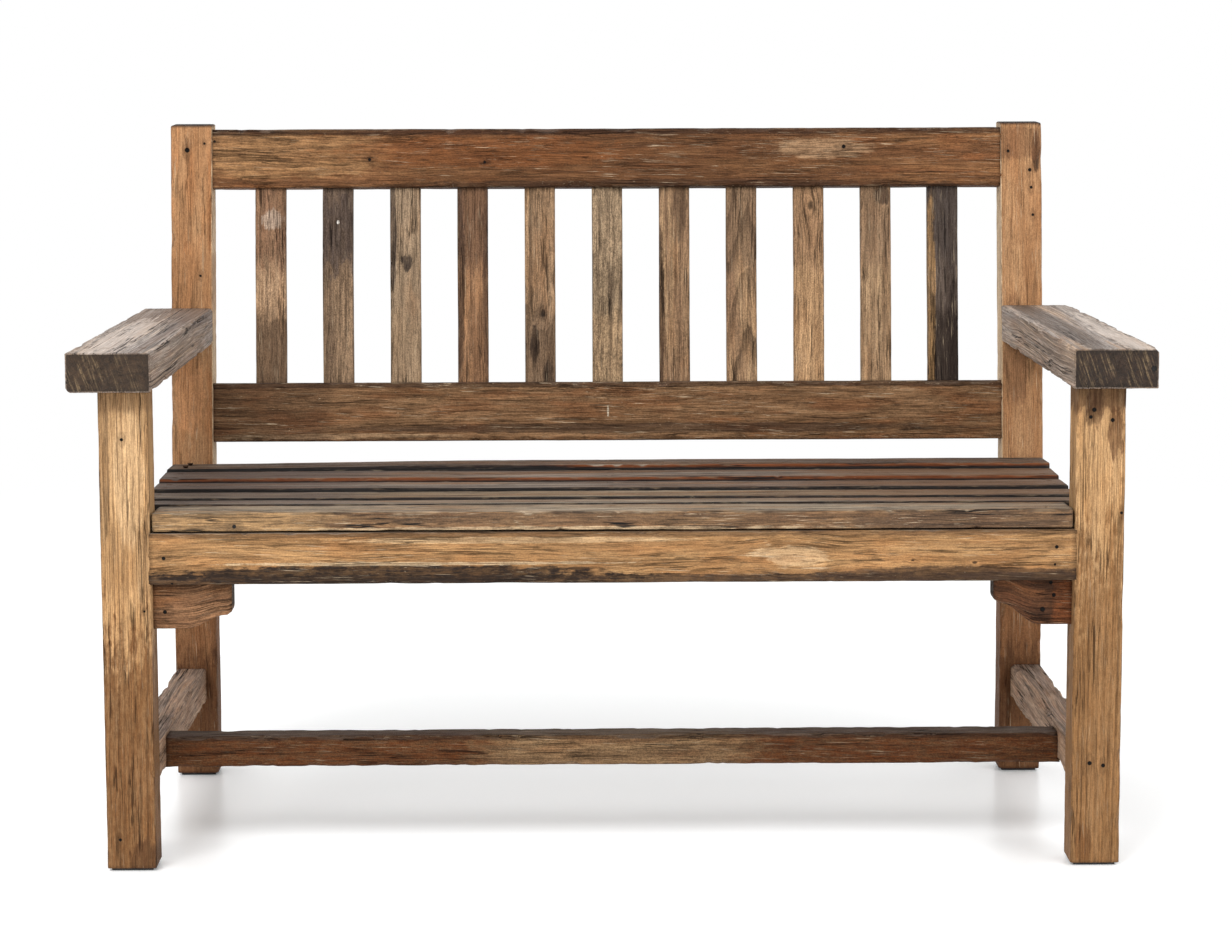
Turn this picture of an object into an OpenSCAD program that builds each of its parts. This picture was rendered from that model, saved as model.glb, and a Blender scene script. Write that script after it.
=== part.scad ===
// Timber garden bench with arms, in millimetres, +Z up.
// The bench is drawn with the front faces of its front legs on Y = 0 and moved, node by node,
// so that the origin lies on the floor at the centre of its bounding box. It faces -Y.

/* [Overall] */
// Width over the front legs
bench_w = 1270; // [1180:10:1320]
// Height of the rear posts
bench_h = 907; // [880:1:960]
// Front face of the front legs to front face of the rear posts, at the seat
frame_d = 540; // [520:5:600]
// How far each rear post stands inside the front leg on its side
side_taper = 29; // [15:1:36]

/* [Legs and posts] */
// Width of a front leg
leg_w = 62; // [58:1:70]
// Depth of a front leg
leg_d = 58; // [56:1:66]
// Width of a rear post
post_w = 58; // [54:1:64]
// Depth of a rear post
post_d = 52; // [50:1:60]
// Backward lean of the posts above the seat, in degrees
rake = 8; // [4:0.5:12]
// Height at which the posts start to lean
knee_z = 432; // [426:1:440]

/* [Back] */
// Height of the top and lower back rails, along the lean
back_rail_h = 82; // [70:1:95]
// Thickness of the back rails
back_rail_t = 38; // [32:1:42]
// How far the back rails stand behind the posts' front faces
back_rail_setback = 3; // [0:1:6]
// Start of the lower back rail above the knee, along the lean
lower_rail_rise = 40; // [30:1:60]
// Drop from the posts' tops to the top back rail
top_rail_drop = 5; // [2:1:20]
// Number of back slats
back_slat_count = 11; // [7:1:11]
// Width of a back slat
back_slat_w = 43; // [36:1:50]
// Thickness of a back slat
back_slat_t = 18; // [14:1:22]
// Clear gap between a post and the slat next to it
back_end_gap = 58; // [40:1:70]

/* [Arms] */
// Height of the arms' undersides, which is the height of the front legs
arm_z = 606; // [590:1:620]
// Thickness of an arm
arm_t = 50; // [40:1:56]
// Width of an arm at its front end
arm_front_w = 105; // [95:1:115]
// Width of an arm where it meets the rear post
arm_rear_w = 95; // [80:1:105]
// How far the arms reach past the front legs
arm_overhang = 30; // [15:1:45]
// How far an arm reaches past the inner face of its front leg
arm_inner_lip = 8; // [2:1:12]

/* [Seat] */
// Height of the front slat's top face
seat_z = 452; // [446:1:460]
// Width of a seat slat
seat_slat_w = 78; // [72:1:82]
// Thickness of a seat slat
seat_slat_t = 24; // [20:1:26]
// Height of the front seat rail
front_rail_h = 65; // [60:1:72]
// Thickness of the front seat rail
front_rail_t = 42; // [38:1:46]
// Thickness of the rear seat rail
rear_rail_t = 38; // [34:1:40]
// Thickness of the side rails and of the centre bearer
bearer_t = 34; // [30:1:36]

/* [Stretchers] */
// Height of the stretchers' undersides above the floor
stretcher_z = 106; // [80:1:160]
// Width of a side stretcher
side_stretcher_w = 42; // [38:1:42]
// Height of a side stretcher
side_stretcher_h = 47; // [42:1:60]
// Front face of the long stretcher behind the front legs' front faces
long_stretcher_y = 117; // [90:1:300]
// Depth of the long stretcher
long_stretcher_d = 43; // [36:1:50]
// Height of the long stretcher
long_stretcher_h = 40; // [36:1:42]

/* [Brackets] */
// Length of a corner bracket under the front seat rail
bracket_l = 98; // [90:1:130]
// Height of a corner bracket against its leg
bracket_h = 59; // [54:1:70]
// Thickness of a corner bracket
bracket_t = 35; // [30:1:38]
// Height of the free end of the right bracket
right_bracket_end_h = 31; // [26:1:44]
// Height of the free end of the left bracket
left_bracket_end_h = 42; // [26:1:44]

/* [Joints] */
// Length of a tenon
tenon_l = 26; // [20:1:26]
// Thickness of a tenon
tenon_t = 13; // [10:1:13]
// Radius of a wooden peg
peg_r = 4.5; // [3.5:0.5:4.5]
// Thickness of a foot pad
pad_t = 3; // [2:1:5]

/* [Hidden] */
$fn = 48;
SEAT_SLATS = 6;
BACK_SLATS = back_slat_count;

// Colours of the weathered timber, the pegs, the steel and the pads
leg_colour = "#b98a55";
post_colour = "#a8794c";
rail_colour = "#8a6340";
slat_colour = "#7c654e";
arm_colour = "#7a6a5a";
seat_colour = "#6f655b";
peg_colour = "#5d4630";
steel_colour = "#4a4744";
pad_colour = "#1b1b1b";

// Half widths, from the bench's centre line
leg_outer_x = bench_w / 2;
leg_inner_x = leg_outer_x - leg_w;
leg_centre_x = leg_outer_x - leg_w / 2;
post_outer_x = leg_outer_x - side_taper;
post_inner_x = post_outer_x - post_w;
post_centre_x = post_outer_x - post_w / 2;

// Depths: the post's face leans back above the knee
post_top_y = frame_d + (bench_h - knee_z) * tan(rake);
overall_d = arm_overhang + post_top_y + post_d;
centre_y = overall_d / 2 - arm_overhang;

// Back, measured along the lean from the knee
top_rail_rise = (bench_h - top_rail_drop - knee_z) / cos(rake) - back_rail_h;
back_slat_pitch = (2 * (post_inner_x - back_end_gap) - back_slat_w) / (BACK_SLATS - 1);
back_slat_housing = 12;
back_shoulder = 10;

// Arm, with its stub tenon on the leg and its tenon in the post
arm_inner_x = leg_inner_x - arm_inner_lip;
leg_stub = 28;
arm_tenon_h = 22;
arm_tenon_w = 30;
arm_tenon_z = arm_z + (arm_t - arm_tenon_h) / 2;

// Seat frame
slat_clearance = 2;
seat_half_w = post_outer_x - slat_clearance;
front_slat_half_w = leg_inner_x - slat_clearance;
seat_pitch = (frame_d - slat_clearance - seat_slat_w) / (SEAT_SLATS - 1);
rail_top_z = seat_z - seat_slat_t;
rail_bottom_z = rail_top_z - front_rail_h;
rail_tenon_z = rail_bottom_z + 12;
rail_tenon_h = front_rail_h - 27;
front_rail_tenon_y = 14;
rear_rail_y = frame_d + 10;
rear_rail_h = front_rail_h - 8;
rear_rail_tenon_y = frame_d + tenon_l + 3;
bearer_tenon_l = 18;
// Centre of a side rail at the back of the leg and at the front of the post
side_rail_front_x = leg_centre_x - 6;
side_rail_rear_x = post_centre_x;
// Top front edge of each seat slat below the front slat, front to rear: the seat is dished
slat_drop = [0, 3, 7, 8, 7, 2.5];
// Backward lean of each seat slat in degrees, front to rear
slat_lean = [0, 2.5, 2.5, 2, 1, 2.5];
slat_screw_places = [18, 60];

// Stretchers: centre of a side stretcher at the back of the leg and at the front of the post
side_stretcher_front_x = leg_inner_x + side_stretcher_w / 2;
side_stretcher_rear_x = post_outer_x - 1 - side_stretcher_w / 2;
stretcher_tenon_z = stretcher_z + 8;
stretcher_tenon_h = 26;
long_tenon_l = 20;

// Brackets
bracket_y = 20;
bracket_curve_l = 50;
bracket_corner_r = 8;
bracket_screw_places = [34, 64];
bracket_screw_sink = 16;

// Steel screws: length, radius of the shank and of the head, height of the head's cone
slat_screw = [50, 2.2, 4.2, 3];
arm_screw = [80, 2.6, 5, 3.5];
bracket_screw = [75, 2.2, 4.2, 3];
pad_nail = [20, 1.2, 3.5, 1.2];
screw_sink = 1.5;
pad_nail_sink = 1;

// Foot pads
pad_inset = 5;
leg_foot_z = pad_t;

// Y of a post's front face at height z
function post_front_y(z) = frame_d + max(0, z - knee_z) * tan(rake);

// X at depth y on a straight line from the back of a front leg to the front of a rear post
function side_line_x(y, front_x, rear_x) =
    front_x + (rear_x - front_x) * (y - leg_d) / (frame_d - leg_d);

// Point on the underside of seat slat k, at distance s behind its front edge, as [y, z]
function slat_under(k, s) = [
    k * seat_pitch + s * cos(slat_lean[k]) - seat_slat_t * sin(slat_lean[k]),
    seat_z - slat_drop[k] - s * sin(slat_lean[k]) - seat_slat_t * cos(slat_lean[k])
];

// Moves a finished piece so that the origin is at the centre of the bench's footprint
module placed() {
    translate([0, -centre_y, 0]) children();
}

// A piece drawn on the right, +X side, or its mirror image on the left
module on_side(side) {
    if (side == "right") children();
    else mirror([1, 0, 0]) children();
}

module on_both_sides() {
    children();
    mirror([1, 0, 0]) children();
}

// Frame of the leaning back: Y is square to the post's face, Z runs up the lean
module leaning() {
    translate([0, frame_d, knee_z]) rotate([-rake, 0, 0]) children();
}

// Bar that lies along the line from leg to post, seen from above
module side_bar(front_x, rear_x, w, y0, y1, z0, h) {
    x0 = side_line_x(y0, front_x, rear_x);
    x1 = side_line_x(y1, front_x, rear_x);
    translate([0, 0, z0])
        linear_extrude(h)
            polygon([[x0 - w / 2, y0], [x0 + w / 2, y0], [x1 + w / 2, y1], [x1 - w / 2, y1]]);
}

// Profile in the YZ plane, extruded from X = x0 over a width of w
module side_profile(points, x0, w) {
    translate([x0, 0, 0]) rotate([90, 0, 90]) linear_extrude(w) polygon(points);
}

module rear_post_profile(x0, w) {
    side_profile([
        [frame_d, leg_foot_z],
        [frame_d, knee_z],
        [post_top_y, bench_h],
        [post_top_y + post_d, bench_h],
        [frame_d + post_d, knee_z],
        [frame_d + post_d, leg_foot_z]
    ], x0, w);
}

// Block whose top follows the undersides of the seat slats
module bearer_block(x0, w) {
    slat_points = [for (k = [0 : SEAT_SLATS - 1]) each [slat_under(k, 0), slat_under(k, seat_slat_w)]];
    last = slat_under(SEAT_SLATS - 1, seat_slat_w);
    rear_y = rear_rail_y + rear_rail_t;
    side_profile(concat(
        [[0, rail_bottom_z]],
        slat_points,
        [[rear_y, last[1]], [rear_y, rail_bottom_z]]
    ), x0, w);
}

// Puts its children on top of seat slat k, with Y = 0 at the slat's front edge
module on_slat(k) {
    translate([0, k * seat_pitch, seat_z - slat_drop[k]]) rotate([-slat_lean[k], 0, 0]) children();
}

// ---- Tenons, which their own rail adds and the piece they enter takes away ----

module back_rail_tenon(rise) {
    half = post_inner_x + tenon_l;
    leaning()
        translate([-half, back_rail_setback + (back_rail_t - tenon_t) / 2, rise + back_shoulder])
            cube([2 * half, tenon_t, back_rail_h - 2 * back_shoulder]);
}

module leg_top_tenon() {
    side = arm_tenon_w;
    translate([leg_centre_x - side / 2, (leg_d - side) / 2, arm_z - 1])
        cube([side, side, leg_stub + 1]);
}

module arm_rear_tenon() {
    y0 = post_front_y(arm_z) - 10;
    y1 = post_front_y(arm_z + arm_t / 2) + tenon_l;
    translate([post_centre_x - arm_tenon_w / 2, y0, arm_tenon_z])
        cube([arm_tenon_w, y1 - y0, arm_tenon_h]);
}

module front_rail_tenon() {
    half = leg_inner_x + tenon_l;
    translate([-half, front_rail_tenon_y, rail_tenon_z]) cube([2 * half, tenon_t, rail_tenon_h]);
}

module rear_rail_tenon() {
    half = post_inner_x + tenon_l;
    translate([-half, rear_rail_tenon_y, rail_tenon_z]) cube([2 * half, tenon_t, rail_tenon_h]);
}

module side_rail_tenon() {
    side_bar(side_rail_front_x, side_rail_rear_x, tenon_t,
        leg_d - tenon_l, frame_d + tenon_l, rail_tenon_z, rail_tenon_h);
}

module centre_bearer_tenon() {
    y0 = front_rail_t - bearer_tenon_l;
    y1 = rear_rail_y + bearer_tenon_l;
    translate([-tenon_t / 2, y0, rail_tenon_z]) cube([tenon_t, y1 - y0, rail_tenon_h]);
}

module side_stretcher_tenon() {
    side_bar(side_stretcher_front_x, side_stretcher_rear_x, tenon_t,
        leg_d - tenon_l, frame_d + tenon_l, stretcher_tenon_z, stretcher_tenon_h);
}

module long_stretcher_tenon() {
    y0 = long_stretcher_y + (long_stretcher_d - tenon_t) / 2;
    half = side_line_x(y0, side_stretcher_front_x, side_stretcher_rear_x)
        - side_stretcher_w / 2 + long_tenon_l;
    translate([-half, y0, stretcher_tenon_z]) cube([2 * half, tenon_t, stretcher_tenon_h - 2]);
}

// ---- Pegs and screws ----

// Peg from x0 to x1 along X, from y0 to y1 along Y, and from z0 to z1 along Z
module peg_x(x0, x1, y, z) {
    translate([x0, y, z]) rotate([0, 90, 0]) cylinder(r = peg_r, h = x1 - x0);
}

module peg_y(x, y0, y1, z) {
    translate([x, y1, z]) rotate([90, 0, 0]) cylinder(r = peg_r, h = y1 - y0);
}

module peg_z(x, y, z0, z1) {
    translate([x, y, z0]) cylinder(r = peg_r, h = z1 - z0);
}

module back_rail_pegs() {
    rear_face = post_d * cos(rake);
    leaning()
        for (rise = [lower_rail_rise, top_rail_rise])
            peg_y(post_inner_x + 13, 8, rear_face, rise + back_rail_h / 2);
}

module seat_rail_pegs() {
    low_z = rail_tenon_z + 10;
    high_z = rail_tenon_z + 29;
    side_peg_y = leg_d - 13;
    rear_peg_y = frame_d + 13;
    peg_y(leg_inner_x + 9, 8, leg_d, low_z);
    peg_y(post_inner_x + 12, frame_d + 20, frame_d + post_d, low_z);
    peg_x(leg_centre_x - 16, leg_outer_x, side_peg_y, high_z);
    peg_x(post_centre_x - 15, post_outer_x, rear_peg_y, high_z);
}

module stretcher_pegs() {
    z = stretcher_tenon_z + stretcher_tenon_h / 2;
    long_y = long_stretcher_y + long_stretcher_d / 2;
    long_x = side_line_x(long_y, side_stretcher_front_x, side_stretcher_rear_x)
        - side_stretcher_w / 2 + long_tenon_l / 2;
    peg_x(leg_centre_x - 24, leg_outer_x, leg_d - 13, z);
    peg_x(post_centre_x - 7, post_outer_x, frame_d + 13, z);
    peg_z(long_x, long_y, stretcher_z, stretcher_z + side_stretcher_h - 10);
}

module arm_pegs() {
    z = arm_z + arm_t / 2;
    peg_x(post_centre_x - 20, post_outer_x, post_front_y(z) + 13, z);
}

module bracket_dowels() {
    peg_x(leg_inner_x - 25, leg_inner_x + 25, bracket_y + bracket_t / 2, rail_bottom_z - bracket_h / 2);
}

module centre_bearer_pegs() {
    top = rail_tenon_z + rail_tenon_h - 6;
    peg_z(0, front_rail_t - bearer_tenon_l / 2, rail_bottom_z, top);
    peg_z(0, rear_rail_y + bearer_tenon_l / 2, rail_bottom_z, top);
}

module all_pegs() {
    on_both_sides() {
        back_rail_pegs();
        seat_rail_pegs();
        stretcher_pegs();
        arm_pegs();
        bracket_dowels();
    }
    centre_bearer_pegs();
}

// Countersunk screw that points down from Z = 0, where its hole starts
module screw(size, sink) {
    translate([0, 0, -sink - size[3]]) cylinder(r1 = size[1], r2 = size[2], h = size[3]);
    translate([0, 0, -size[0]]) cylinder(r = size[1], h = size[0] - sink - size[3] + 0.01);
}

// The same screw with the open hole above its head
module screw_hole(size, sink) {
    screw(size, sink);
    translate([0, 0, -sink]) cylinder(r = size[2], h = sink + 1);
}

// Puts its children at each screw place of seat slat k
module at_slat_screws(k) {
    on_slat(k)
        if (k == 0) {
            for (x = [-540, -180, 180, 540]) translate([x, front_rail_t / 2, 0]) children();
            translate([0, slat_screw_places[1], 0]) children();
        }
        else for (s = slat_screw_places) {
            x = side_line_x(k * seat_pitch + s, side_rail_front_x, side_rail_rear_x);
            for (place = [-x, 0, x]) translate([place, s, 0]) children();
        }
}

module at_arm_screws() {
    on_both_sides()
        for (step = [-23, 23])
            translate([leg_centre_x + step, leg_d / 2, arm_z + arm_t]) children();
}

module at_bracket_screws() {
    on_both_sides()
        for (step = bracket_screw_places)
            translate([leg_inner_x - step, bracket_y + 11, rail_bottom_z - bracket_h])
                rotate([180, 0, 0]) children();
}

module at_feet() {
    on_both_sides() {
        translate([leg_centre_x, leg_d / 2, 0]) rotate([180, 0, 0]) children();
        translate([post_centre_x, frame_d + post_d / 2, 0]) rotate([180, 0, 0]) children();
    }
}

// ---- Timber pieces, each with its holes for what enters it ----

// Front leg, with the stub tenon that carries the arm
module front_leg(side) {
    color(leg_colour) placed() on_side(side) difference() {
        union() {
            translate([leg_inner_x, 0, leg_foot_z]) cube([leg_w, leg_d, arm_z - leg_foot_z]);
            leg_top_tenon();
        }
        front_rail_tenon();
        side_rail_tenon();
        side_stretcher_tenon();
        all_pegs();
        at_arm_screws() screw(arm_screw, screw_sink);
        at_feet() screw(pad_nail, pad_nail_sink);
    }
}

// Rear post: upright below the seat and leaning back above it
module rear_post(side) {
    color(post_colour) placed() on_side(side) difference() {
        rear_post_profile(post_inner_x, post_w);
        back_rail_tenon(lower_rail_rise);
        back_rail_tenon(top_rail_rise);
        arm_rear_tenon();
        rear_rail_tenon();
        side_rail_tenon();
        side_stretcher_tenon();
        all_pegs();
        at_feet() screw(pad_nail, pad_nail_sink);
    }
}

// Back rail with a mortise for the end of each back slat
module back_rail(rise) {
    color(rail_colour) placed() difference() {
        union() {
            leaning()
                translate([-post_inner_x, back_rail_setback, rise])
                    cube([2 * post_inner_x, back_rail_t, back_rail_h]);
            back_rail_tenon(rise);
        }
        for (i = [1 : BACK_SLATS]) back_slat_bar(i);
        all_pegs();
    }
}

// Back slat i, counted from the left, long enough to be housed in both rails
module back_slat_bar(i) {
    x = (i - (BACK_SLATS + 1) / 2) * back_slat_pitch;
    z0 = lower_rail_rise + back_rail_h - back_slat_housing;
    z1 = top_rail_rise + back_slat_housing;
    leaning()
        translate([x - back_slat_w / 2, back_rail_setback + (back_rail_t - back_slat_t) / 2, z0])
            cube([back_slat_w, back_slat_t, z1 - z0]);
}

module back_slat(i) {
    color(slat_colour) placed() back_slat_bar(i);
}

// Arm: tapers to the rear, sits on the leg and butts against the leaning post
module armrest(side) {
    rear_y = post_front_y(arm_z + arm_t) + 5;
    color(arm_colour) placed() on_side(side) difference() {
        union() {
            difference() {
                translate([0, 0, arm_z])
                    linear_extrude(arm_t)
                        polygon([
                            [arm_inner_x, -arm_overhang],
                            [arm_inner_x + arm_front_w, -arm_overhang],
                            [post_inner_x + arm_rear_w, rear_y],
                            [post_inner_x, rear_y]
                        ]);
                rear_post_profile(post_inner_x - 50, arm_rear_w + 100);
            }
            arm_rear_tenon();
        }
        leg_top_tenon();
        all_pegs();
        at_arm_screws() screw_hole(arm_screw, screw_sink);
    }
}

module front_seat_rail() {
    color(leg_colour) placed() difference() {
        union() {
            translate([-leg_inner_x, 0, rail_bottom_z]) cube([2 * leg_inner_x, front_rail_t, front_rail_h]);
            front_rail_tenon();
        }
        centre_bearer_tenon();
        all_pegs();
        at_slat_screws(0) screw(slat_screw, screw_sink);
        at_bracket_screws() screw(bracket_screw, 0);
    }
}

module rear_seat_rail() {
    color(rail_colour) placed() difference() {
        union() {
            translate([-post_inner_x, rear_rail_y, rail_bottom_z]) cube([2 * post_inner_x, rear_rail_t, rear_rail_h]);
            rear_rail_tenon();
        }
        centre_bearer_tenon();
        all_pegs();
    }
}

// Side rail from leg to post, cut on top to carry the dished seat
module side_seat_rail(side) {
    color(rail_colour) placed() on_side(side) difference() {
        union() {
            intersection() {
                bearer_block(post_inner_x, leg_outer_x - post_inner_x);
                side_bar(side_rail_front_x, side_rail_rear_x, bearer_t,
                    leg_d, frame_d, rail_bottom_z - 1, front_rail_h + 2);
            }
            side_rail_tenon();
        }
        all_pegs();
        for (k = [0 : SEAT_SLATS - 1]) at_slat_screws(k) screw(slat_screw, screw_sink);
    }
}

module centre_seat_bearer() {
    color(rail_colour) placed() difference() {
        union() {
            intersection() {
                bearer_block(-bearer_t / 2, bearer_t);
                translate([-bearer_t, front_rail_t, 0]) cube([2 * bearer_t, rear_rail_y - front_rail_t, seat_z]);
            }
            centre_bearer_tenon();
        }
        all_pegs();
        for (k = [0 : SEAT_SLATS - 1]) at_slat_screws(k) screw(slat_screw, screw_sink);
    }
}

// Seat slat i, counted from the front; the front one fits between the legs
module seat_slat(i) {
    k = i - 1;
    half = k == 0 ? front_slat_half_w : seat_half_w;
    color(seat_colour) placed() difference() {
        on_slat(k) translate([-half, 0, -seat_slat_t]) cube([2 * half, seat_slat_w, seat_slat_t]);
        at_slat_screws(k) screw_hole(slat_screw, screw_sink);
    }
}

// Outline of a bracket seen from the front: X from the leg towards the centre, Z down
function bracket_outline(end_h) = concat(
    [[0, 0], [0, -bracket_h]],
    [for (t = [0 : 0.125 : 1]) [
        bracket_l - bracket_corner_r - bracket_curve_l * (1 - t),
        -end_h - (bracket_h - end_h) * (1 + cos(180 * t)) / 2
    ]],
    [for (a = [15 : 15 : 90]) [
        bracket_l - bracket_corner_r + bracket_corner_r * sin(a),
        -end_h + bracket_corner_r * (1 - cos(a))
    ]],
    [[bracket_l, 0]]
);

module corner_bracket(side, end_h) {
    color(rail_colour) placed() on_side(side) difference() {
        translate([leg_inner_x, bracket_y + bracket_t, rail_bottom_z])
            rotate([90, 0, 0])
                linear_extrude(bracket_t)
                    mirror([1, 0]) polygon(bracket_outline(end_h));
        all_pegs();
        at_bracket_screws() screw_hole(bracket_screw, bracket_screw_sink);
    }
}

module side_stretcher(side) {
    color(rail_colour) placed() on_side(side) difference() {
        union() {
            side_bar(side_stretcher_front_x, side_stretcher_rear_x, side_stretcher_w,
                leg_d, frame_d, stretcher_z, side_stretcher_h);
            side_stretcher_tenon();
        }
        long_stretcher_tenon();
        all_pegs();
    }
}

// Long stretcher, whose ends are cut to the side stretchers' inner faces
module long_stretcher() {
    y0 = long_stretcher_y;
    y1 = long_stretcher_y + long_stretcher_d;
    x0 = side_line_x(y0, side_stretcher_front_x, side_stretcher_rear_x) - side_stretcher_w / 2;
    x1 = side_line_x(y1, side_stretcher_front_x, side_stretcher_rear_x) - side_stretcher_w / 2;
    color(rail_colour) placed() difference() {
        union() {
            translate([0, 0, stretcher_z])
                linear_extrude(long_stretcher_h) polygon([[-x0, y0], [x0, y0], [x1, y1], [-x1, y1]]);
            long_stretcher_tenon();
        }
        all_pegs();
    }
}

// ---- Fasteners and feet ----

module joint_pegs() {
    color(peg_colour) placed() all_pegs();
}

module seat_slat_screws() {
    color(steel_colour) placed()
        for (k = [0 : SEAT_SLATS - 1]) at_slat_screws(k) screw(slat_screw, screw_sink);
}

module armrest_screws() {
    color(steel_colour) placed() at_arm_screws() screw(arm_screw, screw_sink);
}

module bracket_screws() {
    color(steel_colour) placed() at_bracket_screws() screw(bracket_screw, bracket_screw_sink);
}

module foot_pad(side, x, y, w, d) {
    color(pad_colour) placed() on_side(side) difference() {
        translate([x + pad_inset, y + pad_inset, 0]) cube([w - 2 * pad_inset, d - 2 * pad_inset, pad_t]);
        at_feet() screw_hole(pad_nail, pad_nail_sink);
    }
}

module foot_pad_nails() {
    color(steel_colour) placed() at_feet() screw(pad_nail, pad_nail_sink);
}

front_leg("left");  // front_leg_left
front_leg("right");  // front_leg_right
rear_post("left");  // rear_post_left
rear_post("right");  // rear_post_right
back_rail(top_rail_rise);  // top_back_rail
back_rail(lower_rail_rise);  // lower_back_rail
for (i = [1 : BACK_SLATS]) back_slat(i);
armrest("left");  // armrest_left
armrest("right");  // armrest_right
front_seat_rail();
rear_seat_rail();
side_seat_rail("left");  // side_seat_rail_left
side_seat_rail("right");  // side_seat_rail_right
centre_seat_bearer();
for (i = [1 : SEAT_SLATS]) seat_slat(i);
corner_bracket("left", left_bracket_end_h);  // corner_bracket_left
corner_bracket("right", right_bracket_end_h);  // corner_bracket_right
side_stretcher("left");  // side_stretcher_left
side_stretcher("right");  // side_stretcher_right
long_stretcher();
joint_pegs();
seat_slat_screws();
armrest_screws();
bracket_screws();
foot_pad("left", leg_inner_x, 0, leg_w, leg_d);  // foot_pad_front_left
foot_pad("right", leg_inner_x, 0, leg_w, leg_d);  // foot_pad_front_right
foot_pad("left", post_inner_x, frame_d, post_w, post_d);  // foot_pad_rear_left
foot_pad("right", post_inner_x, frame_d, post_w, post_d);  // foot_pad_rear_right
foot_pad_nails();
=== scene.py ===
"""Weathered timber garden bench: the visual model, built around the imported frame.

Every timber piece is a worn, slightly crooked bar made in mesh code. Lengths are in millimetres, in the
bench's own drawing frame (front faces of the front legs on Y = 0), until a mesh is written, in metres.
"""
import math

import bmesh
import bpy
import numpy as np
from mathutils import Matrix, Vector


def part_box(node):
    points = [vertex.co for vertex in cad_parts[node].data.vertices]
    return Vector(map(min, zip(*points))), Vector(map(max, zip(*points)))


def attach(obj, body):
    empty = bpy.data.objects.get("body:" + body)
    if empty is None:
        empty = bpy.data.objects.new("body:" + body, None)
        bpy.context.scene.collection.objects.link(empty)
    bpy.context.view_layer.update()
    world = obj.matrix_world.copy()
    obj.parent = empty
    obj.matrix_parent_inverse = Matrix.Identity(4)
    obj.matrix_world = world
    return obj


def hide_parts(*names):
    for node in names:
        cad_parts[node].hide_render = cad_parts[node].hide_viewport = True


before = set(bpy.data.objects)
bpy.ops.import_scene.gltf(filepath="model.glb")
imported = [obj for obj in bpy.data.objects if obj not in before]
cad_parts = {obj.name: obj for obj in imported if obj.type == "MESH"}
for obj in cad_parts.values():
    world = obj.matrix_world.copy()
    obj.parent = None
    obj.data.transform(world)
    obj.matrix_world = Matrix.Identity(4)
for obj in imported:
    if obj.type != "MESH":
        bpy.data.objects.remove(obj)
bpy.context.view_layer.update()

MM = 0.001
DRAWING_Y = -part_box("front_leg_right")[0].y


def cad(node):
    """Lowest and highest corner of a CAD node, in mm, in the drawing frame."""
    shift = Vector((0, DRAWING_Y, 0))
    return [(corner + shift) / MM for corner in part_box(node)]


# ---------------------------------------------------------------- sizes, in mm and radians
RAKE = math.radians(8)
LEAN = math.tan(RAKE)
KNEE_Z = 432
LEG = cad("front_leg_right")
POST = cad("rear_post_right")
LEG_IN, LEG_OUT, LEG_D = LEG[0].x, LEG[1].x, LEG[1].y
POST_IN, POST_OUT, POST_Y, POST_TOP = POST[0].x, POST[1].x, POST[0].y, POST[1].z
POST_D = 52
PAD_TOP = 3
RUN_IN = 3  # how far a hidden end runs into the next piece

# the back, measured up the lean from the knee of the posts, and back from their front faces
RAIL_BACK, SLAT_BACK = (3, 41), (13, 31)
LOWER_RAIL = (40, 122)
TOP_RAIL = ((902 - KNEE_Z) / math.cos(RAKE) - 82, (902 - KNEE_Z) / math.cos(RAKE))
SLATS, SLAT_HALF, SLAT_PITCH, HOUSED = 11, 21.5, 93.7, 5

SEAT_Z, SEAT_T, SEAT_W, SEAT_PITCH = 452, 24, 78, 92
SEAT_DROP = (0, 3, 7, 8, 7, 2.5)
SEAT_LEAN = [math.radians(a) for a in (0, 2.5, 2.5, 2, 1, 2.5)]
SEAT_CUP = (4.0, 4.0, 0.0, 0.0, 0.0, 0.0)
REAR_SLAT_SAG = (-604, 260, 4.5)
SIDE_GAP = 2
SEAT_FRAME_Z = 363
FRONT_RAIL = (SEAT_FRAME_Z, 428, 0, 42)
REAR_RAIL = (SEAT_FRAME_Z, 420, 550, 588)
BEARER_HALF, BEARER_FRONT_X, BEARER_REAR_X = 17, 598, 577

ARM_Z, ARM_TOP, ARM_FRONT_Y = 606, 656, -30
ARM_FRONT_X, ARM_REAR_X = (565, 670), (548, 643)

BRACKET_H, BRACKET_L, BRACKET_HALF, BRACKET_Y = 59, 98, 17.5, 37.5
BRACKET_END_H = {"left": 42, "right": 31}
OGEE, TIP_R = (40, 90), 8
STRETCHER_Z, STRETCHER_H, STRETCHER_HALF = 106, 47, 21
STRETCHER_FRONT_X, STRETCHER_REAR_X = 594, 584
LONG_STRETCHER = (STRETCHER_Z, 146, 117, 160)

ARM_SCREW, SMALL_SCREW = (5.0, 6.0), (4.2, 6.0)  # radius and depth of the hole over the screw's head
BRACKET_SCREW = (4.2, 16.0)


# ---------------------------------------------------------------- noise on arrays
def lattice(x, y, z, seed):
    """A random value from 0 to 1 for every lattice point."""
    h = (x * 374761393 + y * 668265263 + z * 2147483647 + seed * 974634777) & 0xFFFFFFFF
    h = ((h ^ (h >> 13)) * 1274126177) & 0xFFFFFFFF
    h = ((h ^ (h >> 16)) * 2246822519) & 0xFFFFFFFF
    return (h ^ (h >> 15)) / 0xFFFFFFFF


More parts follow.
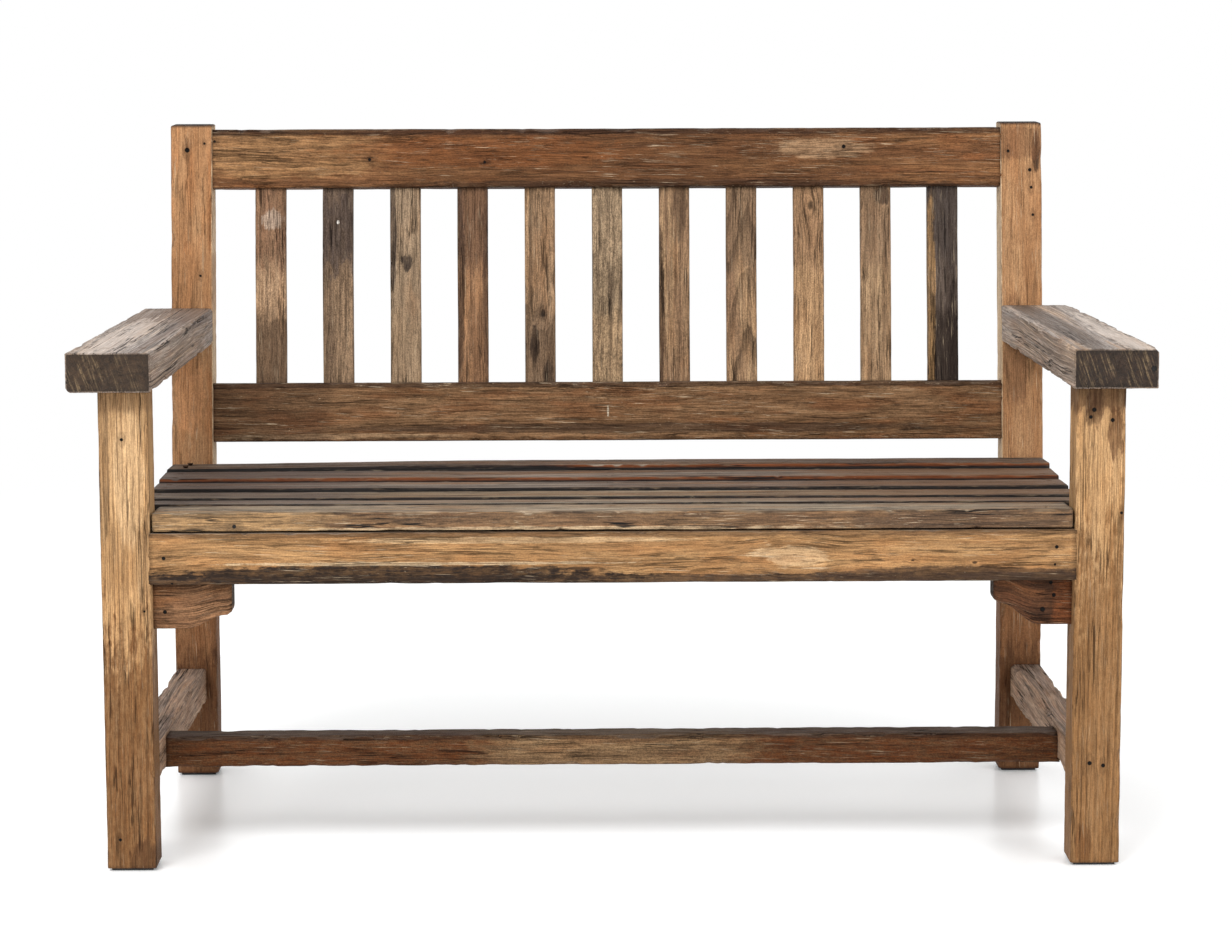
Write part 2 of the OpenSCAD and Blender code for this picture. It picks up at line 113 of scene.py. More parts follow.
def noise3(x, y, z, seed):
    """Smooth noise from 0 to 1 on arrays."""
    x, y, z = np.broadcast_arrays(*(np.asarray(v, float) for v in (x, y, z)))
    cell = [np.floor(v).astype(np.int64) for v in (x, y, z)]
    part = [v - c for v, c in zip((x, y, z), cell)]
    part = [p * p * (3 - 2 * p) for p in part]
    total = np.zeros(x.shape)
    for dx in (0, 1):
        for dy in (0, 1):
            for dz in (0, 1):
                weight = 1.0
                for p, d in zip(part, (dx, dy, dz)):
                    weight = weight * (p if d else 1 - p)
                total += weight * lattice(cell[0] + dx, cell[1] + dy, cell[2] + dz, seed)
    return total


def fbm(x, y, z, seed, octaves=3):
    """Noise from 0 to 1, summed over octaves."""
    total, size, amount = 0.0, 1.0, 0.0
    for k in range(octaves):
        total = total + size * noise3(x * 2**k, y * 2**k, z * 2**k, seed + 17 * k)
        amount += size
        size *= 0.5
    return total / amount


# ---------------------------------------------------------------- worn bars
class Place:
    """Where a bar's own axes lie: s along the grain, a and b across it."""

    def __init__(self, origin, along, across, up):
        self.origin = np.array(origin, float)
        self.axes = np.array([Vector(v).normalized() for v in (along, across, up)])

    def world(self, local):
        return self.origin + local @ self.axes

    def local(self, world):
        return (world - self.origin) @ self.axes.T


STATION_STEP = 6.0
SIDE_STEP = 3.2
ARC_STEPS = 5
CAP_RINGS = (0.9, 0.72, 0.5, 0.28, 0.1)
ROUNDING_TURNS = (0, 25, 50, 72)
MOST_ROUND = 0.42  # a worn edge's radius, at most, as a part of the bar's thickness


def constant(a0, a1, b0, b1):
    """Limits of a bar that has the same section all along."""
    return lambda s: [np.full_like(s, v) for v in (a0, a1, b0, b1)]


def tapering(s0, s1, first, last):
    """Limits that change evenly from first at s0 to last at s1."""
    def limits(s):
        t = (s - s0) / (s1 - s0)
        return [f + (e - f) * t for f, e in zip(first, last)]
    return limits


def edge_radii(s, shape):
    """Radius of the four long edges at each station: worn, with chips and the named dents."""
    rng = np.random.default_rng(shape["seed"])
    span = s[-1] - s[0]
    radii = []
    for corner in range(4):
        wander = fbm(s / 45, corner * 9.1, 0.5, shape["seed"] + corner, 3)
        r = shape["radius"] * (0.45 + 1.1 * wander)
        for _ in range(int(shape["chips"] * span / 45 + rng.random())):
            at = s[0] + rng.random() * span
            half = rng.uniform(3, 9) if rng.random() < 0.6 else rng.uniform(9, 30)
            deep = rng.uniform(0.4, 1.7) * shape["radius"]
            r = r + deep * np.clip(1 - np.abs(s - at) / half, 0, 1) ** 0.6
        for at, half, deep, which in shape["dents"]:
            if which == corner:
                ragged = 0.55 + 0.9 * noise3(s / 5, 1.5, 2.5, shape["seed"] + 91)
                r = r + deep * ragged * np.clip(1 - ((s - at) / half) ** 2, 0, 1)
        radii.append(r)
    return radii


def corner_arc(corner, which, r):
    """Points (a, b) and normals round one long edge. A chip is flatter than an arc."""
    ca, cb, sa, sb = corner
    turn = np.radians(-90 + 90 * which + np.linspace(0, 90, ARC_STEPS + 1))[None, :]
    a = (ca[:, None] - sa * r) + r * np.cos(turn)
    b = (cb[:, None] - sb * r) + r * np.sin(turn)
    t = np.linspace(0, 1, ARC_STEPS + 1)[None, :]
    flat = np.clip((r - 2.5) / 4, 0, 0.8)
    a = a + flat * (a[:, :1] * (1 - t) + a[:, -1:] * t - a)
    b = b + flat * (b[:, :1] * (1 - t) + b[:, -1:] * t - b)
    return a, b, np.cos(turn) + 0 * a, np.sin(turn) + 0 * a


def section_loop(limits, radii, side_counts):
    """The closed outline at every station, as arrays (stations, points), with its outward normals."""
    a0, a1, b0, b1 = limits
    corners = [(a1, b0, 1, -1), (a1, b1, 1, 1), (a0, b1, -1, 1), (a0, b0, -1, -1)]
    most = MOST_ROUND * np.minimum(a1 - a0, b1 - b0)
    arcs = [corner_arc(corner, c, np.minimum(radii[c], most)[:, None]) for c, corner in enumerate(corners)]
    out = [[], [], [], []]
    for c in range(4):
        here, there = arcs[c], arcs[(c + 1) % 4]
        for k in range(4):
            out[k].append(here[k])
        count = side_counts[c % 2]
        even = np.arange(1, count) / count
        t = (0.35 * (0.5 - 0.5 * np.cos(np.pi * even)) + 0.65 * even)[None, :]
        for k in range(2):
            out[k].append(here[k][:, -1:] * (1 - t) + there[k][:, :1] * t)
        side = math.radians(90 * c)
        for k, part in ((2, math.cos(side)), (3, math.sin(side))):
            out[k].append(np.full((len(a0), count - 1), part))
    return [np.concatenate(part, axis=1) for part in out]


def stations(start, end, ends, rounding):
    """Places along the bar, and how far the section draws in there to round an open end."""
    s = np.linspace(start, end, max(6, int((end - start) / STATION_STEP)) + 1)
    inset = np.zeros_like(s)
    turn = np.radians(ROUNDING_TURNS)
    if ends[0] == "open":
        s = np.concatenate([start + rounding * (1 - np.cos(turn)), s[1:]])
        inset = np.concatenate([rounding * (1 - np.sin(turn)), inset[1:]])
    if ends[1] == "open":
        s = np.concatenate([s[:-1], (end - rounding * (1 - np.cos(turn)))[::-1]])
        inset = np.concatenate([inset[:-1], (rounding * (1 - np.sin(turn)))[::-1]])
    return s, inset


def bent(bar, limits, s, a, b):
    """The points (s, a, b) after the bar's bow, twist, cupping, sag and skewed far end."""
    shape = bar["shape"]
    t = (s - bar["start"]) / (bar["end"] - bar["start"])
    hold = 1.0 if bar["ends"] == OPEN else np.clip(4 * t * (1 - t), 0, 1)
    bow_a = shape["bow"] * hold * (2 * fbm(s / 330, 0.5, 0.5, shape["seed"] + 7, 2) - 1)
    bow_b = shape["bow"] * hold * (2 * fbm(s / 330, 7.5, 0.5, shape["seed"] + 8, 2) - 1)
    from_middle = a - ((limits[0] + limits[1]) / 2)[:, None]
    turned = (shape["twist"] * (2 * t - 1) - shape["cup"]) * from_middle / 100
    a, b = a + bow_a, b + bow_b + turned
    if shape["sag"]:
        at, half, deep = shape["sag"]
        b = b - deep * np.exp(-(((s - at) / half) ** 2))
    return np.stack([s + bar["skew"] * (b - limits[2][:, None]) * t, a, b], -1)


def end_cap(bar, last, ring):
    """Ever smaller rings that close one end of the bar. Its cut is rough."""
    s, a, b = ring.T
    rings = []
    for f in CAP_RINGS:
        ra, rb = a.mean() + f * (a - a.mean()), b.mean() + f * (b - b.mean())
        rs = s.mean() + f * (s - s.mean()) if bar["skew"] and last else s
        rough = 0.9 * bar["shape"]["relief"] * fbm(ra / 5, rb / 5, 0.5, bar["shape"]["seed"] + 9, 2)
        rings.append(np.stack([rs - rough if last else rs + rough, ra, rb], -1))
    return np.array(rings)


def bar_rings(bar):
    """Rings of points (s, a, b) from one end cap's centre to the other's."""
    shape = bar["shape"]
    seed = shape["seed"]
    s, inset = stations(bar["start"], bar["end"], bar["ends"], shape["rounding"])
    a0, a1, b0, b1 = bar["limits"](s)
    counts = [max(5, int(v.max() / SIDE_STEP)) for v in (b1 - b0, a1 - a0)]
    drawn_in = [a0 + inset, a1 - inset, b0 + inset, b1 - inset]
    a, b, na, nb = section_loop(drawn_in, edge_radii(s, shape), counts)
    s = s[:, None] + 0 * a
    broad = fbm(s / 120, a / 12, b / 12, seed + 5, 2)
    fine = fbm(s / 34, a / 3.2, b / 3.2, seed + 6, 3)
    depth = shape["relief"] * (0.4 * broad + 0.6 * fine)
    body = bent(bar, (a0, a1, b0, b1), s, a - na * depth, b - nb * depth)
    return np.concatenate([end_cap(bar, False, body[0])[::-1], body, end_cap(bar, True, body[-1])])


def bar_mesh(name, bar):
    """The bar's skin: quads between its rings, and a fan at each end."""
    rings = bar_rings(bar)
    count, points = rings.shape[:2]
    local = np.concatenate([rings.reshape(-1, 3), rings[[0, -1]].mean(1)])
    j = np.arange(points)
    k = (j + 1) % points
    faces = []
    flip = np.linalg.det(bar["place"].axes) < 0
    for i in range(count - 1):
        quad = np.stack([i * points + j, i * points + k, (i + 1) * points + k, (i + 1) * points + j], -1)
        faces.extend((quad[:, ::-1] if flip else quad).tolist())
    centre, top = count * points, (count - 1) * points
    for j0, k0 in zip(j, k):
        fan = ([centre, k0, j0], [centre + 1, top + j0, top + k0])
        faces.extend([list(reversed(f)) if flip else f for f in fan])
    world = bar["place"].world(local) * MM
    world[:, 1] -= DRAWING_Y
    mesh = bpy.data.meshes.new(name)
    mesh.from_pydata(world.tolist(), [], faces)
    smooth(mesh)
    return mesh


def smooth(mesh):
    mesh.polygons.foreach_set("use_smooth", [True] * len(mesh.polygons))
    mesh.update()


def label(mesh, bar):
    """Stores, at every point, its grain coordinates and its distances to the nearest edge and end, in mm."""
    co = np.empty(len(mesh.vertices) * 3, np.float32)
    mesh.vertices.foreach_get("co", co)
    world = co.reshape(-1, 3).astype(float)
    world[:, 1] += DRAWING_Y
    s, a, b = bar["place"].local(world / MM).T
    a0, a1, b0, b1 = bar["limits"](np.clip(s, bar["start"], bar["end"]))
    grain = np.stack([s, a - (a0 + a1) / 2, b - (b0 + b1) / 2], -1)
    sides = np.sort(np.abs(np.stack([a - a0, a1 - a, b - b0, b1 - b], -1)), -1)
    first, last = (0 if end == "open" else RUN_IN for end in bar["ends"])
    to_end = np.minimum(s - (bar["start"] + first), (bar["end"] - last) - s)
    on_cap = np.logical_and(to_end < 3, sides[:, 0] > 2.2)
    to_edge = np.where(on_cap, sides[:, 0], sides[:, 1])
    wear_and_shade_distances = np.stack([to_edge, np.maximum(to_end, 0), on_cap * 1.0], -1)
    for key, values in (("grain", grain), ("wear_and_shade_distances", wear_and_shade_distances)):
        layer = mesh.attributes.new(key, "FLOAT_VECTOR", "POINT")
        layer.data.foreach_set("vector", values.astype(np.float32).ravel())


def cut_screw_holes(obj, holes):
    """Countersunk holes, each as (centre of the mouth, direction in, radius, depth), in mm."""
    cutter = bmesh.new()
    for centre, inward, radius, depth in holes:
        turn = Vector((0, 0, 1)).rotation_difference(-inward).to_matrix().to_4x4()
        middle = (centre + inward * (depth - 2) / 2) * MM - Vector((0, DRAWING_Y, 0))
        bmesh.ops.create_cone(cutter, cap_ends=True, segments=28, radius1=radius * MM,
                              radius2=radius * 1.06 * MM, depth=(depth + 2) * MM,
                              matrix=Matrix.Translation(middle) @ turn)
    mesh = bpy.data.meshes.new("cutter")
    cutter.to_mesh(mesh)
    cutter.free()
    tool = bpy.data.objects.new("cutter", mesh)
    bpy.context.scene.collection.objects.link(tool)
    cut = obj.modifiers.new("holes", "BOOLEAN")
    cut.operation, cut.object, cut.solver = "DIFFERENCE", tool, "EXACT"
    bpy.context.view_layer.update()
    done = bpy.data.meshes.new_from_object(obj.evaluated_get(bpy.context.evaluated_depsgraph_get()))
    obj.modifiers.clear()
    obj.data = done
    bpy.data.objects.remove(tool)
    smooth(done)


OPEN, HIDDEN = ("open", "open"), ("hidden", "hidden")
SHAPE = dict(seed=1, radius=1.6, chips=1.0, relief=0.7, bow=0.5, twist=0.0, cup=0.0, rounding=1.6, sag=None,
             dents=())


def bar(node, slot, place, start, end, limits, finish, ends=HIDDEN, skew=0.0, holes=(), **shape):
    """Makes the bar that stands for a CAD node, and hides the node. finish is a wood's look, or a material."""
    name = node + "_" + slot.rsplit("_", 1)[1]
    spec = dict(place=place, start=start, end=end, limits=limits, ends=ends, skew=skew,
                shape={**SHAPE, **shape})
    obj = bpy.data.objects.new(name, bar_mesh(name, spec))
    bpy.context.scene.collection.objects.link(obj)
    if holes:
        cut_screw_holes(obj, holes)
    label(obj.data, spec)
    if isinstance(finish, dict):
        finish = timber(name + "_wood", finish, spec["shape"]["seed"])
    obj.data.materials.clear()
    obj.data.materials.append(finish)
    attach(obj, "root")
    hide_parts(node)


# ---------------------------------------------------------------- materials
def tone(r, g, b):
    """Linear colour of an 8-bit sRGB colour."""
    def linear(c):
        c /= 255
        return c / 12.92 if c <= 0.04045 else ((c + 0.055) / 1.055) ** 2.4
    return linear(r), linear(g), linear(b)


def darker(colour, part):
    return tuple(part * v for v in colour)


class Nodes:
    """A material's node tree, written as expressions. Values may be numbers, tuples or sockets."""

    def __init__(self, name):
        self.material = bpy.data.materials.new(name)
        self.material.use_nodes = True
        self.tree = self.material.node_tree
        self.tree.nodes.clear()

    def new(self, kind, **settings):
        node = self.tree.nodes.new(kind)
        for key, value in settings.items():
            setattr(node, key, value)
        return node

    def put(self, socket, value):
        if isinstance(value, bpy.types.NodeSocket):
            self.tree.links.new(value, socket)
        elif socket.type == "RGBA" and len(value) == 3:
            socket.default_value = (*value, 1)
        else:
            socket.default_value = value

    def filled(self, kind, *values, **settings):
        """A new node whose first inputs take the values."""
        node = self.new(kind, **settings)
        for socket, value in zip(node.inputs, values):
            self.put(socket, value)
        return node

    def math(self, operation, *values):
        return self.filled("ShaderNodeMath", *values, operation=operation).outputs[0]

    def add(self, *values):
        total = values[0]
        for v in values[1:]:
            total = self.math("ADD", total, v)
        return total

    def times(self, *values):
        total = values[0]
        for v in values[1:]:
            total = self.math("MULTIPLY", total, v)
        return total

    def less(self, first, second):
        return self.math("SUBTRACT", first, second)

    def most(self, first, second):
        return self.math("MAXIMUM", first, second)

    def swing(self, noise, amount):
        """Turns noise round 0.5 into a push to either side of 0."""
        return self.times(self.less(noise, 0.5), amount)

    def vector(self, x, y, z):
        return self.filled("ShaderNodeCombineXYZ", x, y, z).outputs[0]

    def split(self, vector):
        return self.filled("ShaderNodeSeparateXYZ", vector).outputs

    def scaled(self, vector, scale, offset=(0, 0, 0)):
        return self.filled("ShaderNodeVectorMath", vector, scale, offset, operation="MULTIPLY_ADD").outputs[0]

    def noise(self, vector, detail=2.0, roughness=0.5):
        node = self.new("ShaderNodeTexNoise")
        for key, value in (("Vector", vector), ("Scale", 1.0), ("Detail", detail), ("Roughness", roughness)):
            self.put(node.inputs[key], value)
        return node.outputs[0]

    def ramp(self, value, low, high, out_low=0.0, out_high=1.0, smooth=True):
        """Maps low..high to out_low..out_high, clamped."""
        kind = "SMOOTHSTEP" if smooth else "LINEAR"
        node = self.filled("ShaderNodeMapRange", value, low, high, out_low, out_high, interpolation_type=kind)
        return node.outputs[0]

    def mix(self, factor, first, second, blend="MIX"):
        node = self.new("ShaderNodeMix", data_type="RGBA", blend_type=blend)
        for number, value in ((0, factor), (6, first), (7, second)):
            self.put(node.inputs[number], value)
        return node.outputs[2]

    def finished(self, colour, roughness, height, bump_strength, bump_mm, **constants):
        """Ends the tree in a Principled shader with a bump, and gives the material."""
        bump = self.new("ShaderNodeBump")
        bump.inputs["Strength"].default_value = bump_strength
        bump.inputs["Distance"].default_value = bump_mm * MM
        self.put(bump.inputs["Height"], height)
        shader = self.new("ShaderNodeBsdfPrincipled")
        self.put(shader.inputs["Base Color"], colour)
        self.put(shader.inputs["Roughness"], roughness)
        self.put(shader.inputs["Normal"], bump.outputs["Normal"])
        for key, value in constants.items():
            shader.inputs[key.replace("_", " ")].default_value = value
        self.put(self.new("ShaderNodeOutputMaterial").inputs["Surface"], shader.outputs[0])
        return self.material


FREE = 999  # a patch's radius along an axis that doesn't limit it
COLOURS = ("light", "mid", "dark", "grey", "pale", "warm", "end", "end_streak")
LOOK = dict(
    grey=(150, 138, 126), pale=(214, 200, 180), warm=(160, 104, 60),
    end=(70, 52, 40), end_streak=(120, 104, 86),
    rings=7.0, pith=(38.0, 60.0), ring_slope=0.02, ring_dark=0.5, wander=6.0, line=60, stretch=1.0,
    fibre=0.6, threads=0.5, grit=0.3, pores=0.6, cracks=0.8, scratches=0.3, mottle=0.8, warmth=0.4,
    weather=0.9, weather_sides=0.0, furrow=0.5, stripes=0.3, edge=0.85, edge_light=0.3, grime=0.35,
    rough=0.6, bump=1.6, gloss=0.12, patches=(), over=(), knots=(), nails=(),
)
HEIGHTS = dict(fine=-0.26, hair=0.12, streak=0.5, late=-0.14, pores=-0.30, cracks=-1.3, scars=-0.15, hole=-2.2,
               knot=-0.3, blotch=-0.45, threads=-0.35, grit=-0.25)


def look(*parts, **changes):
    """The settings of one wood. Colours are 8-bit sRGB and lengths are in mm.

    A patch, painted under or over the grain, is (colour, strength, centre, radii, raggedness), a knot is
    (s, a, b, size, darkness) and a nail hole (s, a, b, radius).
    """
    settings = dict(LOOK)
    for part in parts:
        settings.update(part)
    return {**settings, **changes}


class Wood(Nodes):
    """Aged timber, painted in steps in a bar's own grain coordinates. m holds the masks that steps share."""

    def __init__(self, name, style, seed):
        super().__init__(name)
        self.style = {key: tone(*value) if key in COLOURS else value for key, value in style.items()}
        self.shift = (seed * 13.7 % 97, seed * 7.3 % 61, seed * 3.1 % 43)
        self.grain = self.stored("grain")
        self.place = tuple(self.split(self.grain))
        self.to_edge, self.to_end, self.on_end = self.split(self.stored("wear_and_shade_distances"))
        self.wobble = self.field(26, 9, 9, 3, detail=3)
        self.m = {}

    def stored(self, name):
        return self.new("ShaderNodeAttribute", attribute_name=name).outputs["Vector"]

    def field(self, ls, la, lb, salt, **more):
        """Noise with features ls, la and lb long, in straight grain coordinates."""
        offset = tuple(v + salt * 5.17 for v in self.shift)
        return self.noise(self.scaled(self.grain, (1 / ls, 1 / la, 1 / lb), offset), **more)

    def along(self, ls, lw, salt, **more):
        """Noise with features ls long and lw wide, which follows the bent fibres."""
        offset = tuple(v + salt * 3.91 for v in self.shift)
        return self.noise(self.scaled(self.fibres, (1 / ls, 1 / lw, 1 / lw), offset), **more)

    def paint(self, colour, *masks):
        self.colour = self.mix(self.times(*masks), self.colour, colour)

    def spot(self, centre, radii, ragged, noise):
        """Soft mask, 1 inside, of an ellipsoid whose edge wanders with the noise."""
        parts = []
        for value, c, r in zip(self.place, centre, radii):
            if r < FREE:
                d = self.math("DIVIDE", self.less(value, c), r)
                parts.append(self.times(d, d))
        reach = self.add(self.math("SQRT", self.add(*parts)), self.swing(noise, 2.6 * ragged))
        return self.ramp(reach, 1.16, 0.84)

    def bend_fibres(self):
        """Fibres wander slowly, and part round the knots."""
        s, a, b = self.place
        wander = 2 * self.style["wander"]
        bent_a = self.add(a, self.swing(self.field(240, 60, 60, 1, detail=1), wander))
        bent_b = self.add(b, self.swing(self.field(240, 60, 60, 2, detail=1), wander))
        knot, self.knot_push = 0.0, 0.0
        for *centre, size, darkness in self.style["knots"]:
            ds, da, db = (self.less(value, c) for value, c in zip(self.place, centre))
            squares = self.add(self.times(ds, ds, 0.36), self.times(da, da), self.times(db, db, 0.25))
            distance = self.math("SQRT", squares)
            near = self.math("EXPONENT", self.times(distance, distance, -1 / (3.2 * size) ** 2))
            self.knot_push = self.add(self.knot_push, self.times(near, 2.2 * size))
            bent_a = self.less(bent_a, self.times(da, near, 0.62))
            reach = self.add(distance, self.swing(self.wobble, 1.2 * size))
            knot = self.most(knot, self.times(self.ramp(reach, size * 1.15, size * 0.5), darkness))
        self.bent = (bent_a, bent_b)
        self.fibres = self.vector(s, bent_a, bent_b)
        self.m["knot"] = knot

    def grow_rings(self):
        """Growth rings round a pith outside the bar, each with its own darkness of late wood."""
        ra, rb = (self.less(value, p) for value, p in zip(self.bent, self.style["pith"]))
        radius = self.math("SQRT", self.add(self.times(ra, ra), self.times(rb, rb)))
        radius = self.add(radius, self.times(self.place[0], self.style["ring_slope"]), self.knot_push)
        uneven = self.times(self.field(110, 14, 14, 4, detail=2), 0.9)
        count = self.add(self.math("DIVIDE", radius, self.style["rings"]), uneven)
        phase = self.math("FRACT", count)
        late = self.math("MINIMUM", self.ramp(phase, 0.38, 0.90), self.ramp(phase, 1.0, 0.93))
        each = self.new("ShaderNodeTexWhiteNoise", noise_dimensions="1D")
        self.put(each.inputs["W"], self.math("FLOOR", count))
        self.m["late"] = self.times(late, self.ramp(each.outputs["Value"], 0, 1, 0.35, 1.0))

    def draw_marks(self):
        """Masks of the fibres, pores, cracks, scratches and blotches."""
        m, long = self.m, self.style["stretch"]
        m["broad"] = self.field(170 * long, 24, 24, 5, detail=3)
        m["blotch"] = self.field(17 * long, 7, 7, 17, detail=4, roughness=0.72)
        m["grit"] = self.field(2.2, 1.5, 1.5, 21, detail=3, roughness=0.8)
        m["streak"] = self.along(120 * long, 4.6, 6, detail=3, roughness=0.6)
        m["line"] = self.along(self.style["line"] * long, 1.5, 7, detail=3, roughness=0.6)
        m["fine"] = self.ramp(m["line"], 0.41, 0.58, smooth=False)
        contour = self.math("PINGPONG", self.times(self.along(300 * long, 5.0, 22, detail=3), 5.5), 0.5)
        here = self.ramp(self.field(70 * long, 9, 9, 23, detail=2), 0.38, 0.60)
        m["threads"] = self.times(self.ramp(contour, 0.17, 0.03), here)
        m["hair"] = self.along(16, 0.6, 8, detail=2)
        m["pores"] = self.ramp(self.along(22 * long, 0.85, 9, detail=1.5), 0.585, 0.68)
        contour = self.math("ABSOLUTE", self.less(self.along(190 * long, 6.5, 10, detail=3), 0.5))
        here = self.ramp(self.field(90 * long, 16, 16, 11, detail=1), 0.5, 0.62)
        m["cracks"] = self.times(self.ramp(contour, 0.028, 0.008), here)
        m["scars"] = self.draw_scars()
        flecks = self.ramp(self.along(5 * long, 1.4, 18, detail=4, roughness=0.75), 0.61, 0.70)
        m["flecks"] = self.times(flecks, self.ramp(self.field(34, 9, 9, 19, detail=2), 0.50, 0.64))

    def draw_scars(self):
        """Scratches, slightly across the grain."""
        s, a, b = self.place
        slanted = self.vector(s, self.add(a, self.times(s, 0.03)), self.add(b, self.times(s, -0.02)))
        offset = (self.shift[1], self.shift[2], self.shift[0])
        scars = self.noise(self.scaled(slanted, (1 / 60, 1 / 1.2, 1 / 1.2), offset), detail=3, roughness=0.6)
        here = self.ramp(self.field(70, 12, 12, 12, detail=2), 0.46, 0.60)
        return self.times(self.ramp(scars, 0.60, 0.66), here)

    def paint_body(self):
        """The wood itself: two tones and a warm one, stains and painted shade, late wood, fibres, pores and
        knots.
        """
        style, m = self.style, self.m
        self.colour = self.mix(self.ramp(m["broad"], 0.34, 0.66), style["light"], style["mid"])
        self.paint(style["mid"], self.ramp(m["streak"], 0.38, 0.66), style["mottle"])
        self.paint(style["warm"], self.ramp(self.field(75, 15, 15, 20, detail=2), 0.46, 0.68), style["warmth"])
        self.torn = self.add(self.times(self.wobble, 0.3), self.times(m["streak"], 0.35),
                             self.times(m["blotch"], 0.35))
        uneven = self.add(self.times(m["blotch"], 0.6), self.times(m["line"], 0.4))
        worn_through = self.ramp(uneven, 0.40, 0.62, 1.0, 0.7)
        # patches are stains, and in places painted shade, under an arm or under the front rail
        for colour, strength, *where in style["patches"]:
            self.paint(tone(*colour), self.spot(*where, self.torn), strength, worn_through)
        deep = self.mix(0.6, self.colour, style["dark"])
        self.paint(deep, m["late"], style["ring_dark"])
        self.paint(deep, self.ramp(m["streak"], 0.47, 0.70), 0.6 * style["mottle"])
        self.paint(deep, self.ramp(m["blotch"], 0.47, 0.68), 0.65 * style["mottle"])
        bright = self.mix(1.0, self.colour, (1.34, 1.33, 1.31), blend="MULTIPLY")
        self.contrast = self.mix(0.8, self.colour, style["dark"])
        self.paint(self.mix(m["fine"], bright, self.contrast), style["fibre"])
        self.paint(self.contrast, m["threads"], style["threads"])
        self.paint(self.mix(self.ramp(m["grit"], 0.36, 0.62), self.contrast, bright), style["grit"])
        self.paint(self.contrast, m["pores"], style["pores"])
        self.paint(darker(style["dark"], 0.5), m["knot"], 0.85)

    def weather(self):
        """Rain and sun grey what faces up, in stripes and furrows. Stains, painted shade and painted
        highlights on top of that come after it.
        """
        style, m = self.style, self.m
        grey, dark, stripes = style["grey"], style["dark"], style["stripes"]
        furrow = self.mix(0.8, grey, dark)
        stripe = self.field(420, 13, 13, 25, detail=4, roughness=0.6)
        greyed = self.mix(self.ramp(m["blotch"], 0.42, 0.62), grey, self.mix(0.35, grey, dark))
        for colour, *masks in (
                (self.mix(0.75, grey, dark), m["fine"], 0.85),
                (self.mix(0.35, style["mid"], dark), self.ramp(stripe, 0.50, 0.62), stripes),
                (self.mix(0.55, grey, style["pale"]), self.ramp(stripe, 0.46, 0.36), stripes),
                (furrow, self.ramp(m["streak"], 0.45, 0.60), style["furrow"]),
                (dark, self.most(m["threads"], m["cracks"]), 0.85),
                (furrow, self.ramp(m["grit"], 0.62, 0.36), 0.35)):
            greyed = self.mix(self.times(*masks), greyed, colour)
        up = self.split(self.new("ShaderNodeNewGeometry").outputs["Normal"])[2]
        open_sky = self.ramp(up, 0.25, 0.8, style["weather_sides"], style["weather"])
        uneven = self.add(self.times(m["broad"], 0.5), self.times(m["streak"], 0.5))
        self.paint(greyed, open_sky, self.ramp(uneven, 0.34, 0.56))
        # over patches are stains, and in places painted shade in the seat gaps and painted sheen on the arm
        # tops
        for colour, strength, *where in style["over"]:
            self.paint(tone(*colour), self.spot(*where, self.torn), strength)

    def wear_edges(self):
        """Edges hold dirt in places and are rubbed pale in others. Scratches, darker ends and cracks follow:
        an end gets painted shade where the piece meets the next, and grime where it is free.
        """
        style, m = self.style, self.m
        near = self.add(self.to_edge, self.swing(self.field(13, 4, 4, 13, detail=3), 7.0))
        rim = m["rim"] = self.ramp(near, 2.6, 0.2)
        self.paint(self.contrast, rim, self.ramp(self.field(60, 18, 18, 14), 0.36, 0.6), style["edge"])
        rubbed = self.mix(0.5, self.colour, tone(214, 186, 150))
        self.paint(rubbed, rim, self.ramp(self.field(45, 18, 18, 15), 0.5, 0.66), style["edge_light"])
        scratched = self.mix(0.35, rubbed, tone(226, 206, 176))
        self.paint(scratched, self.most(m["scars"], m["flecks"]), style["scratches"])
        # darker within 5 mm of each end: painted shade in the joint where a piece meets the next, and grime at
        # a free end
        self.paint(style["dark"], self.ramp(self.to_end, 5.0, 0.0), style["grime"])
        self.paint(darker(style["dark"], 0.3), m["cracks"], style["cracks"])

    def saw_ends(self):
        """Sawn ends: dark, darkest along their edges, with pale streaks across the rings."""
        m, end = self.m, self.style["end"]
        _, a, b = self.place
        slanted = self.times(self.add(a, self.times(b, 0.35)), 0.42)
        rays = self.noise(self.vector(slanted, self.times(b, 0.03), self.shift[0]), detail=3, roughness=0.6)
        here = self.ramp(self.field(60, 24, 40, 24, detail=1), 0.38, 0.56)
        rays = self.times(self.ramp(rays, 0.48, 0.70), here)
        rim = self.ramp(self.add(self.to_edge, self.times(m["blotch"], 12)), 17.0, 4.0)
        cut = self.mix(self.ramp(m["blotch"], 0.4, 0.65), end, darker(end, 0.45))
        for colour, *masks in (
                (self.style["end_streak"], rays, 0.9),
                (darker(end, 0.4), m["late"], 0.5),
                (darker(end, 0.2), rim, 0.8),
                (darker(end, 0.35), self.ramp(m["grit"], 0.62, 0.40), 0.5)):
            cut = self.mix(self.times(*masks), cut, colour)
        self.paint(cut, self.on_end)

    def nail_holes(self):
        """Black holes with a dark halo of rust."""
        hole = 0.0
        for *centre, size in self.style["nails"]:
            mouth = self.spot(centre, (size,) * 3, 0.12, self.wobble)
            halo = self.spot(centre, (size * 5, size * 2.2, size * 5), 0.5, self.m["streak"])
            self.paint(self.style["dark"], halo, 0.3)
            hole = self.most(hole, mouth)
        self.paint(tone(14, 11, 9), hole)
        self.m["hole"] = hole


def timber(name, style, seed):
    """The material of one piece of aged timber."""
    wood = Wood(name, style, seed)
    for step in (wood.bend_fibres, wood.grow_rings, wood.draw_marks, wood.paint_body, wood.weather,
                 wood.wear_edges, wood.saw_ends, wood.nail_holes):
        step()
    m = wood.m
    height = wood.add(*(wood.times(m[key], amount) for key, amount in HEIGHTS.items()))
    rough = wood.add(style["rough"], wood.swing(m["fine"], 0.2), wood.times(m["cracks"], 0.2),
                     wood.times(m["rim"], -0.08), wood.times(m["blotch"], 0.1))
    rough = wood.math("MINIMUM", wood.most(rough, 0.3), 0.95)
    return wood.finished(wood.colour, rough, height, 0.9, style["bump"], Specular_IOR_Level=style["gloss"])


